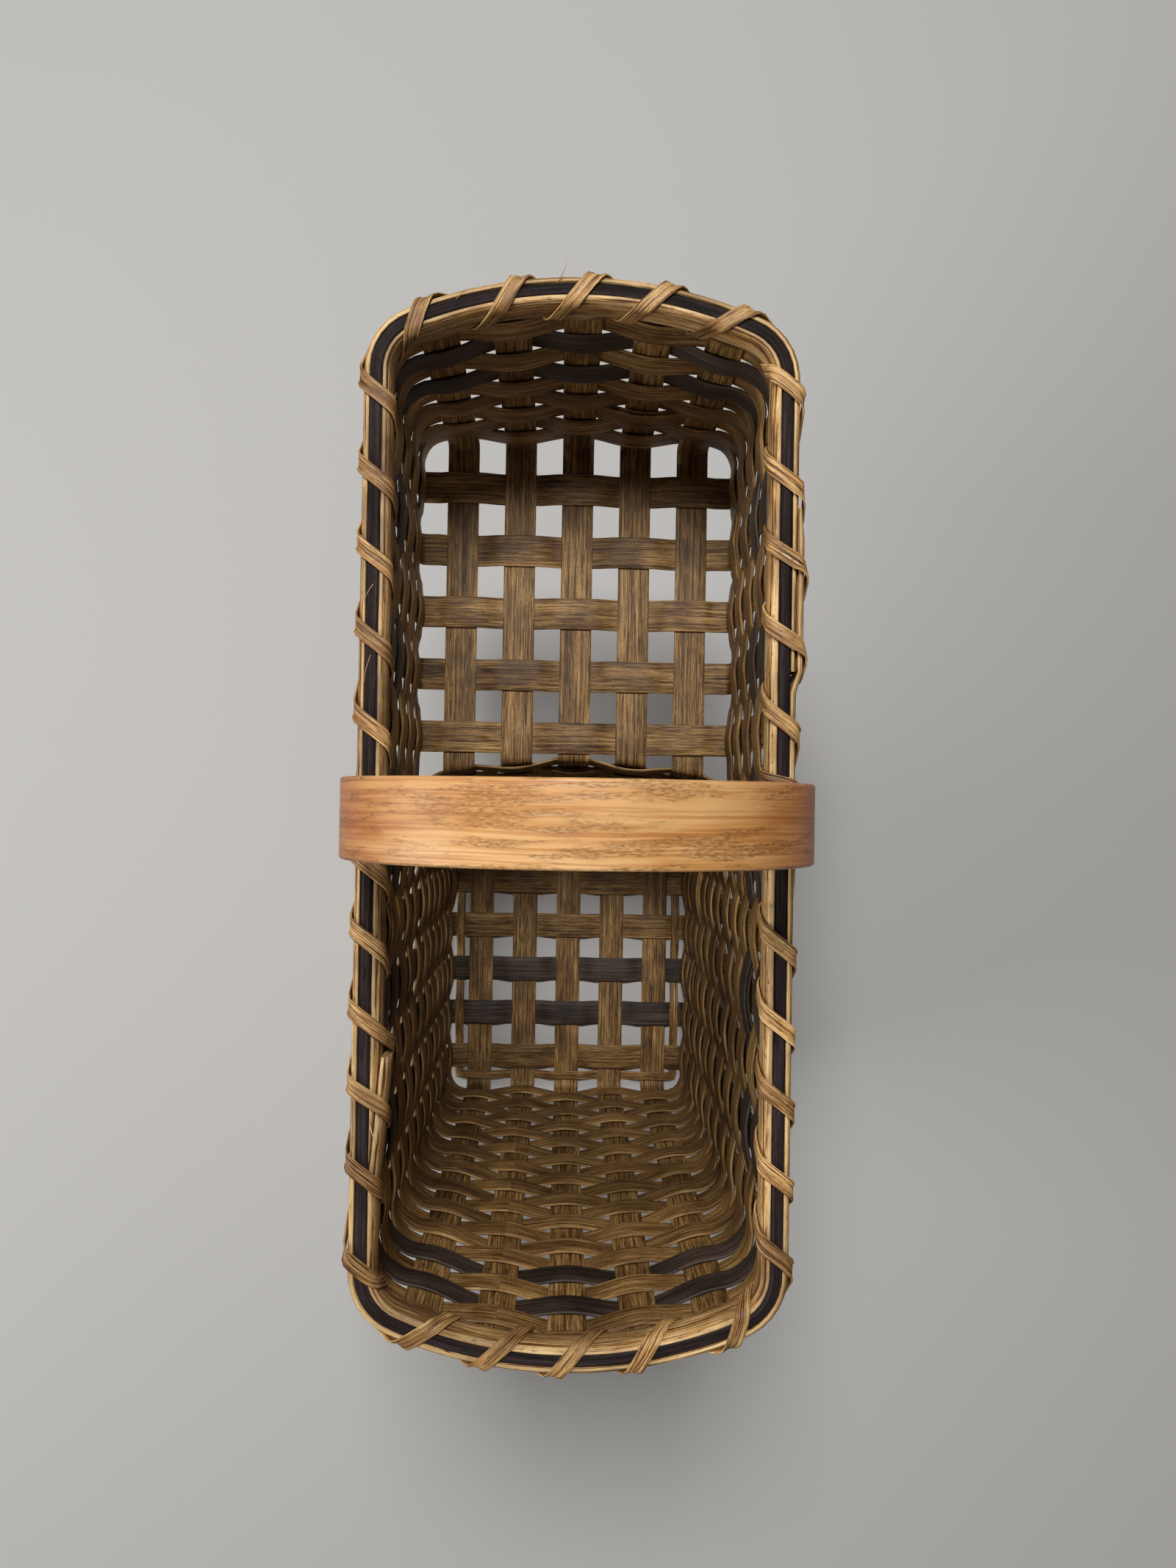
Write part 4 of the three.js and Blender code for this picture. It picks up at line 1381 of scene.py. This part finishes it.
@dataclass(frozen=True)
class Splice:
    """Where the start of a rim strip is covered by its own end, on one side of the basket.

    The start is at covered_y, way is 1 where the strip runs anticlockwise from there, and the shares
    say how much of the strip's thickness is left at its start and where the cover ends.
    """

    side: Side
    covered_y: float
    length: float
    way: int
    start_share: float
    stop_share: float
    cover_tip: float


@dataclass
class Rims:
    """The two half-round rim strips, the filler between them and the lashing that binds them."""

    walls: Walls
    maker: Maker
    step: float = 4.0
    splice_lead: float = 8.0
    tip_from: float = 0.8
    tip_share: float = 0.2
    trim: float = 1.5
    sway: float = 0.22
    sway_waves: int = 4
    rim_tones: float = 0.04
    filler_tones: float = 0.05
    pressed: float = 0.9
    press_from: float = 150.0
    press_over: float = 40.0
    # Painted light and shade across the inner strip: darker on the left, paler on the right.
    inner_painted_light: float = 0.16
    outer_splice: Splice = Splice(Side.RIGHT, 59.5, 64.0, 1, 0.8, 0.8, 1.2)
    inner_splice: Splice = Splice(Side.LEFT, -131.5, 40.0, -1, 0.12, 1.0, 3.4)
    filler_width: float = 5.1
    filler_clear: float = 9.4
    lasher_width: float = 6.1
    lasher_turn: float = 3.0
    lasher_rise: float = 8.0
    lasher_cross: float = 10.0
    lasher_corner: float = 5.0
    lasher_clear: float = 1.2
    lasher_sway: float = 0.9
    lasher_seed: int = 5
    lasher_round: int = 5

    def __post_init__(self) -> None:
        """Lay out the rim line."""
        self.ring = Ring(self.walls, End.SHALLOW, self.walls.rim_mid)

    def _reach(self, face: int, s: float) -> float:
        """Find a rim's broad face, the inner rim being pressed thinner at the ends.

        Args:
            face: 1 for the outer rim, -1 for the inner one.
            s: Distance along the rim line.

        Returns:
            How far the face is from the middle of the wall.
        """
        pressed = self.pressed if face < 0 else 0.0
        y = abs(self.ring.spot(s)(self.walls.rim_mid, 0.0).y)
        return self.walls.rim_reach(face) - pressed * ease((y - self.press_from) / self.press_over)

    def _layer(self, s: float, face: int, near: float, far: float) -> Station:
        """Place a station of a rim strip.

        Args:
            s: Distance along the rim line.
            face: 1 for the outer rim, -1 for the inner one.
            near: How far its near side is from the wall's middle.
            far: How far its broad face is from the wall's middle.

        Returns:
            The station.
        """
        walls, spot = self.walls, self.ring.spot(s)
        middle = (near + far) / 2
        low, high = spot(walls.rim_bottom + self.trim, face * middle), spot(walls.rim_top, face * middle)
        out = (spot(walls.rim_mid, face * (middle + 1)) - spot(walls.rim_mid, face * middle)).normalized()
        across, height = (high - low).normalized(), walls.rim_height - self.trim
        return Station((low + high) / 2, across, out, height, far - near)

    def _splice(self, face: int) -> tuple[Splice, float]:
        """Find a rim's splice.

        Args:
            face: 1 for the outer rim, -1 for the inner one.

        Returns:
            The splice, and the distance along the rim line of its covered start.
        """
        splice = self.outer_splice if face > 0 else self.inner_splice
        at = self.ring.at_right if splice.side is Side.RIGHT else self.ring.at_left
        return splice, at(splice.covered_y)

    def _lift(self, face: int, s: float) -> float:
        """Find how far a rim's covered start lifts what lies over it.

        Args:
            face: 1 for the outer rim, -1 for the inner one.
            s: Distance along the rim line.

        Returns:
            The lift, which is 0 away from the splice.
        """
        splice, start = self._splice(face)
        half = self.ring.length / 2
        past = (splice.way * (s - start) + half) % self.ring.length - half
        share = lerp(splice.start_share, splice.stop_share, min(max(past / splice.length, 0.0), 1.0))
        lifted = (self.walls.rim_reach(face) - self.walls.rim_seat) * share + self.walls.touch
        return lifted * ease(min(past, splice.length - past) / self.splice_lead + 1)

    def strip(self, node: str, face: int) -> Piece:
        """Build a rim strip, whose start is thinned and covered by its own far end.

        Args:
            node: The node that it stands for.
            face: 1 outside the wall, -1 inside it.

        Returns:
            The piece.
        """
        walls, length, seat = self.walls, self.ring.length, self.walls.rim_seat
        splice, start = self._splice(face)
        total = length + splice.length
        count = round(total / self.step)
        sway = Wander(len(node), self.sway, length / self.sway_waves)
        stations = []
        for i in range(count + 1):
            run = total * i / count
            at = start + splice.way * run
            full = self._reach(face, at)
            near, far = seat, full
            if run < splice.length:
                far = lerp(seat, full, lerp(splice.start_share, splice.stop_share, run / splice.length))
            elif run > length - self.splice_lead:
                near, far = seat + self._lift(face, at), full + self._lift(face, at)
            if run > length + splice.length * self.tip_from:
                past = run - length - splice.length * self.tip_from
                thinned = ease(past / (splice.length * self.tip_share))
                far = near + lerp(full - seat, splice.cover_tip, thinned)
            station = self._layer(at, face, near, far)
            station.point.z += sway.at(run)
            # Painted light and shade: the inner strip is painted darker on the left, where its face turns
            # away from the light, and paler on the right, where it faces the light.
            if face < 0:
                station.shade += self.inner_painted_light * station.point.x / walls.side_x(walls.rim_mid)
            stations.append(station)
        tone = self.maker.tone(self.rim_tones)
        return self.maker.make(f"{node}_strip", "rim_reed", stations, tone, node, Profile.DOMED)

    def filler(self, node: str, start: float, stop: float) -> Piece:
        """Build a dark ribbed reed that closes the top of the gap between the rims.

        Args:
            node: The node that it stands for.
            start: Distance along the rim line where it starts.
            stop: Distance where it stops.

        Returns:
            The piece.
        """
        walls = self.walls
        count = round((stop - start) / self.step)
        stations = []
        for i in range(count + 1):
            spot = self.ring.spot(lerp(start, stop, i / count))
            point = spot(walls.filler_mid, 0.0)
            out = (spot(walls.filler_mid, 1.0) - point).normalized()
            stations.append(Station(point, Z, out, walls.filler_height, self.filler_width))
        tone = self.maker.tone(self.filler_tones)
        return self.maker.make(f"{node}_reed", "filler_reed", stations, tone, node, Profile.RIBBED)

    def _gaps(self) -> list[float]:
        """List the gaps between stakes that the lashing passes through.

        Returns:
            Their distances along the rim line, in clockwise order.
        """
        walls, ring = self.walls, self.ring
        lower = [walls.lower_y(i) for i in range(walls.lower_count)]
        upper = [walls.upper_y(i, walls.rim_mid) for i in range(walls.upper_count)]
        longs = [walls.long_x(i) for i in range(walls.long_count)]
        below, above, ends = (
            [(here + there) / 2 for here, there in zip(stakes, stakes[1:])]
            for stakes in (lower, upper, longs)
        )
        beside = (walls.handle_y + walls.tail_width / 2 + upper[0] - walls.stake_width / 2) / 2
        places = [at(y) for y in (*below, beside, *above) for at in (ring.at_right, ring.at_left)]
        places += [ring.at_end(end, x) for x in ends for end in (End.FRONT, End.SHALLOW)]
        places += [ring.starts[i] + ring.parts[i][0] / 2 for i in (1, 3, 5, 7)]
        return sorted(places, reverse=True)

    def _level(self, face: int, s: float) -> float:
        """Return how far out the lashing lies on the inner or the outer rim at a distance along it."""
        walls = self.walls
        return face * (self._reach(face, s) + walls.lasher_gap + walls.lasher_thick / 2 + self._lift(face, s))

    def _lasher_keys(self) -> list[Vector]:
        """Lay out the lashing's path.

        Returns:
            Its corners, as distance along the rim line, distance out and height.
        """
        walls, ring, half_turn = self.walls, self.ring, self.lasher_turn / 2
        gaps = self._gaps()
        low = walls.rim_bottom + self.trim - walls.lasher_gap - walls.lasher_thick / 2
        high = walls.rim_top + walls.lasher_gap + walls.lasher_thick / 2
        tail = walls.tail_width / 2
        legs = [ring.at_right(walls.handle_y + tail), ring.at_left(walls.handle_y - tail)]
        usual = self.lasher_rise + self.lasher_cross + self.lasher_turn / 2
        chance = random.Random(self.lasher_seed)
        keys = [Vector((gaps[0], -1, low))]
        for gap, following in zip(gaps, [*gaps[1:], gaps[0] - ring.length]):
            leg = next((edge for edge in legs if following < edge < gap), None)
            room = gap - following - self.lasher_turn
            if leg is not None:
                room = min(room, gap - leg - self.lasher_width / 2 - self.lasher_clear)
            share = min(1.0, (room - half_turn) / (usual - half_turn))
            risen = gap - half_turn - self.lasher_rise * share
            crossed = risen - self.lasher_cross * share
            sway = 0.0 if leg is not None else chance.uniform(-self.lasher_sway, self.lasher_sway)
            keys += [
                Vector((at, self._level(face, at % ring.length), z)) for at, face, z in (
                    (gap - half_turn, -1, low), (risen + sway, -1, high),
                    (crossed + sway, 1, high), (following + half_turn, 1, low),
                )
            ]
        return [*keys, Vector((gaps[0] - ring.length, 1, low))]

    def lashing(self) -> Piece:
        """Build the flat reed that is wound round the rims, once through each gap between stakes.

        Returns:
            The piece.
        """
        walls, power = self.walls, self.lasher_round
        points, normals = [], []
        for s, out, z in rounded(self._lasher_keys(), self.lasher_corner):
            spot = self.ring.spot(s)
            points.append(spot(z, out))
            away = (spot(z, out + 1) - points[-1]).normalized()
            side = out / walls.rim_reach(1 if out > 0 else -1)
            lift = (z - walls.rim_mid) / (walls.rim_height / 2)
            upward = Vector((0, 0, math.copysign(abs(lift) ** power, lift)))
            normals.append((away * math.copysign(abs(side) ** power, side) + upward).normalized())
        stations = []
        for i, (here, normal) in enumerate(zip(points, normals)):
            way = travel(points, i)
            across = way.cross(normal).normalized()
            stations.append(Station(
                here, across, across.cross(way).normalized(), self.lasher_width, walls.lasher_thick,
            ))
        return self.maker.make("lashing_reed", "lashing_reed", stations, 1.0, "lashing")

    def build(self) -> None:
        """Build the rims, the fillers and the lashing."""
        ring = self.ring
        self.strip("outer_rim", 1)
        self.strip("inner_rim", -1)
        deep, shallow = (self.walls.handle_y + clear for clear in (-self.filler_clear, self.filler_clear))
        self.filler("rim_filler_shallow", ring.at_right(shallow), ring.at_left(shallow))
        self.filler("rim_filler_deep", ring.at_left(deep), ring.at_right(deep) + ring.length)
        self.lashing()


@dataclass
class Handle:
    """The bowed carrying handle, one strip of oak with a thin tail tucked into each side wall."""

    walls: Walls
    maker: Maker
    width: float = 27.5
    thick: float = 6.5
    tail_tip_width: float = 12.0
    tail_tip: float = 14.0
    leg_height: float = 46.0
    leg_inset: float = 2.0
    arch_rise: float = 59.0
    arch_steps: int = 36
    tip_step: float = 3.0
    tip_count: int = 5
    tail_from: float = 24.0
    tail_clear: float = 2.0
    tail_steps: int = 12
    foot_step: float = 0.8
    foot_count: int = 6
    shoulder_from: float = 4.0
    shoulder_step: float = 2.0
    shoulder_count: int = 9
    shoulder_rise: float = 20.0
    leg_from: float = 3.0
    leg_steps: int = 4
    thicken_rise: float = 5.0
    above_rim: float = 1.2
    # Painted shade: the legs and the ends of the arch are darkened where their faces turn away from the
    # light; the crown stays pale.
    leg_painted_shade: float = 0.25
    lit_crown_slope: float = 1.6
    lit_crown_start: float = 0.5

    def _leg(self, face: int) -> list[Station]:
        """Lay out one leg of the bow.

        Args:
            face: 1 on the right, -1 on the left.

        Returns:
            Its stations, from the tip of its tail to the start of the arch.
        """
        walls = self.walls
        tip = walls.rim_bottom - walls.tail_length
        clear = walls.rim_top + self.above_rim
        top = walls.rim_top + self.leg_height
        tail, shoulder = tip + self.tail_from, clear + self.shoulder_from
        straight = clear + self.shoulder_rise + self.leg_from
        # The tail's tip, the tail, the foot of the shoulder, the shoulder and the leg.
        levels = [
            *[tip + i * self.tip_step for i in range(self.tip_count)],
            *[lerp(tail, clear - self.tail_clear, i / self.tail_steps) for i in range(self.tail_steps + 1)],
            *[clear + (i - 1) * self.foot_step for i in range(self.foot_count)],
            *[shoulder + i * self.shoulder_step for i in range(self.shoulder_count)],
            *[lerp(straight, top, i / self.leg_steps) for i in range(self.leg_steps)],
        ]
        stations = []
        for z in levels:
            width = lerp(self.tail_tip_width, walls.tail_width, ease((z - tip) / self.tail_tip))
            width = lerp(width, self.width, ease((z - clear) / self.shoulder_rise))
            thick = lerp(walls.tail_thick, self.thick, ease((z - clear) / self.thicken_rise))
            inset = self.leg_inset * max(0, z - walls.rim_top) / self.leg_height
            point = Vector((face * (walls.side_x(min(z, walls.rim_top)) - inset), walls.handle_y, z))
            # The legs carry the painted shade.
            stations.append(Station(point, Y, face * X, width, thick, self.leg_painted_shade))
        return stations

    def build(self) -> Piece:
        """Build the handle.

        Returns:
            The piece.
        """
        walls = self.walls
        top = walls.rim_top + self.leg_height
        reach = walls.side_x(walls.rim_top) - self.leg_inset
        arch = []
        for i in range(self.arch_steps + 1):
            turn = math.pi * i / self.arch_steps
            out = Vector((-math.cos(turn) * self.arch_rise, 0, math.sin(turn) * reach)).normalized()
            point = Vector((-reach * math.cos(turn), walls.handle_y, top + self.arch_rise * math.sin(turn)))
            # Painted shade: full brightness at the lit crown, darkening towards the ends of the arch.
            lit_crown = ease(self.lit_crown_slope * math.sin(turn) - self.lit_crown_start)
            shade = lerp(self.leg_painted_shade, 1.0, lit_crown)
            arch.append(Station(point, Y, out, self.width, self.thick, shade))
        stations = [*self._leg(-1), *arch, *self._leg(1)[::-1]]
        return self.maker.make("bowed_handle", "oak", stations, 1.0, "handle", Profile.BOW)


@dataclass
class LooseFibres:
    """A few hairs of reed that have lifted from the rims, the lashing and a floor."""

    maker: Maker
    width: float = 0.42
    thick: float = 0.3
    tone: float = 1.15
    corner: float = 3.0
    steps: int = 6
    taper: float = 0.7
    lean: Place = (1, 0.2, 0.1)
    paths: tuple[tuple[Place, ...], ...] = (
        ((-79.9, 64.0, 339.2), (-80.9, 60.0, 341.0), (-81.9, 56.0, 341.2), (-82.2, 52.0, 340.6)),
        ((-79.4, 91.0, 339.0), (-80.6, 88.0, 342.0), (-82.0, 85.0, 342.6), (-83.4, 83.0, 341.6)),
        ((-50.0, 201.6, 339.2), (-46.5, 204.0, 341.6), (-42.5, 205.4, 341.8)),
        ((-10.0, 209.6, 340.2), (-8.2, 212.0, 342.6), (-7.2, 214.2, 344.4), (-7.4, 216.4, 345.0)),
        (
            (64.0, 52.0, 195.6), (65.5, 56.5, 199.0), (69.0, 58.0, 201.5), (71.0, 54.5, 203.0),
            (69.5, 51.0, 202.0),
        ),
        ((-77.4, -117.0, 339.0), (-76.0, -120.0, 341.4), (-74.6, -123.5, 341.8), (-74.4, -126.0, 340.4)),
        ((76.6, 66.0, 338.4), (74.6, 61.0, 339.2), (72.8, 56.0, 337.8), (72.6, 52.0, 335.4)),
    )

    def fibre(self, number: int, path: Sequence[Place]) -> Piece:
        """Build one hair, thinning out to its tip.

        Args:
            number: Its number among the hairs.
            path: The places that it goes through.

        Returns:
            The piece.
        """
        points = rounded([Vector(place) for place in path], self.corner, self.steps)
        stations = framed([(point, Z) for point in points], self.width, self.thick)
        for i, station in enumerate(stations):
            share = 1.0 - self.taper * i / (len(stations) - 1)
            station.width *= share
            station.thick *= share
            station.across = station.out.cross(Vector(self.lean)).normalized()
            station.out = travel(points, i).cross(station.across).normalized()
        return self.maker.make(f"loose_fibre_{number:02d}", "rim_reed", stations, self.tone)

    def build(self) -> None:
        """Build every hair."""
        for i, path in enumerate(self.paths):
            self.fibre(i + 1, path)


@dataclass
class Studio:
    """The pale floor, the soft light and the camera over the basket.

    A lamp has its place and its aim in millimetres, its size in metres and its power in watts.
    """

    camera_at: Place = (-5.5, 8.4, 786.1)
    tilt_x: float = 1.268
    tilt_y: float = 0.792
    roll: float = 0.925
    lens: float = 26.553
    sensor: float = 36.0
    nearest: float = 0.01
    floor_size: float = 3000.0
    sky_light: float = 0.035
    sky_seen: float = 0.35
    lamps: tuple[tuple[str, Place, Place, float, float], ...] = (
        ("ceiling", (-100, 720, 1700), (0, 0, 100), 0.5, 21.5),
        ("window", (-1250, -300, 920), (0, 0, 200), 0.8, 10),
        ("far_window", (400, -1500, 900), (0, -300, 0), 0.8, 2.5),
    )

    def place(self, name: str, data: bpy.types.ID) -> Piece:
        """Add an object to the scene.

        Args:
            name: Its name.
            data: What it shows.

        Returns:
            The object.
        """
        item = bpy.data.objects.new(name, data)
        bpy.context.scene.collection.objects.link(item)
        return item

    def floor(self) -> None:
        """Lay the floor that the basket stands on."""
        builder = bmesh.new()
        bmesh.ops.create_grid(builder, x_segments=1, y_segments=1, size=self.floor_size * MM)
        mesh = bpy.data.meshes.new("floor")
        builder.to_mesh(mesh)
        builder.free()
        mesh.materials.append(PalePaint().build())
        self.place("floor", mesh)

    def sky(self) -> None:
        """Fill the room with faint, even white light, with a pale wall behind it all."""
        world = bpy.data.worlds.new("even_room_light")
        world.use_nodes = True
        background = world.node_tree.nodes["Background"]
        background.inputs["Color"].default_value = linear(WHITE)
        seen = world.node_tree.nodes.new("ShaderNodeLightPath").outputs["Is Camera Ray"]
        strength = world.node_tree.nodes.new("ShaderNodeMapRange")
        strength.inputs["To Min"].default_value = self.sky_light
        strength.inputs["To Max"].default_value = self.sky_seen
        world.node_tree.links.new(seen, strength.inputs["Value"])
        world.node_tree.links.new(strength.outputs["Result"], background.inputs["Strength"])
        bpy.context.scene.world = world

    def light(self) -> None:
        """Hang the soft square lamps."""
        for name, at, aim, size, power in self.lamps:
            data = bpy.data.lights.new(name, "AREA")
            data.energy, data.size = power, size
            lamp = self.place(name, data)
            lamp.location = Vector(at) * MM
            lamp.rotation_euler = (Vector(aim) - Vector(at)).to_track_quat("-Z", "Y").to_euler()

    def camera(self) -> None:
        """Hang the camera straight over the basket, as in the photograph."""
        data = bpy.data.cameras.new("over_the_basket")
        data.sensor_fit, data.sensor_height, data.lens = "VERTICAL", self.sensor, self.lens
        data.clip_start = self.nearest
        lean_x, lean_y = (math.tan(math.radians(tilt)) for tilt in (self.tilt_x, self.tilt_y))
        forward = Vector((lean_x, lean_y, -1)).normalized()
        roll = math.radians(self.roll)
        right = forward.cross(Vector((-math.sin(roll), math.cos(roll), 0))).normalized()
        turned = Matrix((right, right.cross(forward), -forward)).transposed().to_4x4()
        camera = self.place("over_the_basket", data)
        camera.matrix_world = Matrix.Translation(Vector(self.camera_at) * MM) @ turned
        bpy.context.scene.camera = camera

    def build(self) -> None:
        """Set the stage."""
        bpy.context.scene.view_settings.view_transform = "Standard"
        self.floor()
        self.sky()
        self.light()
        self.camera()


def main() -> None:
    """Build the basket and its stage."""
    logging.basicConfig(level=logging.INFO, format="%(name)s: %(message)s")
    random.seed(MAP_SEED)
    walls = Walls()
    maker = Maker()
    Stakes(walls, maker).build()
    Weavers(walls, maker).build()
    Rims(walls, maker).build()
    Handle(walls, maker).build()
    LooseFibres(maker).build()
    Studio().build()


if __name__ == "__main__":
    main()
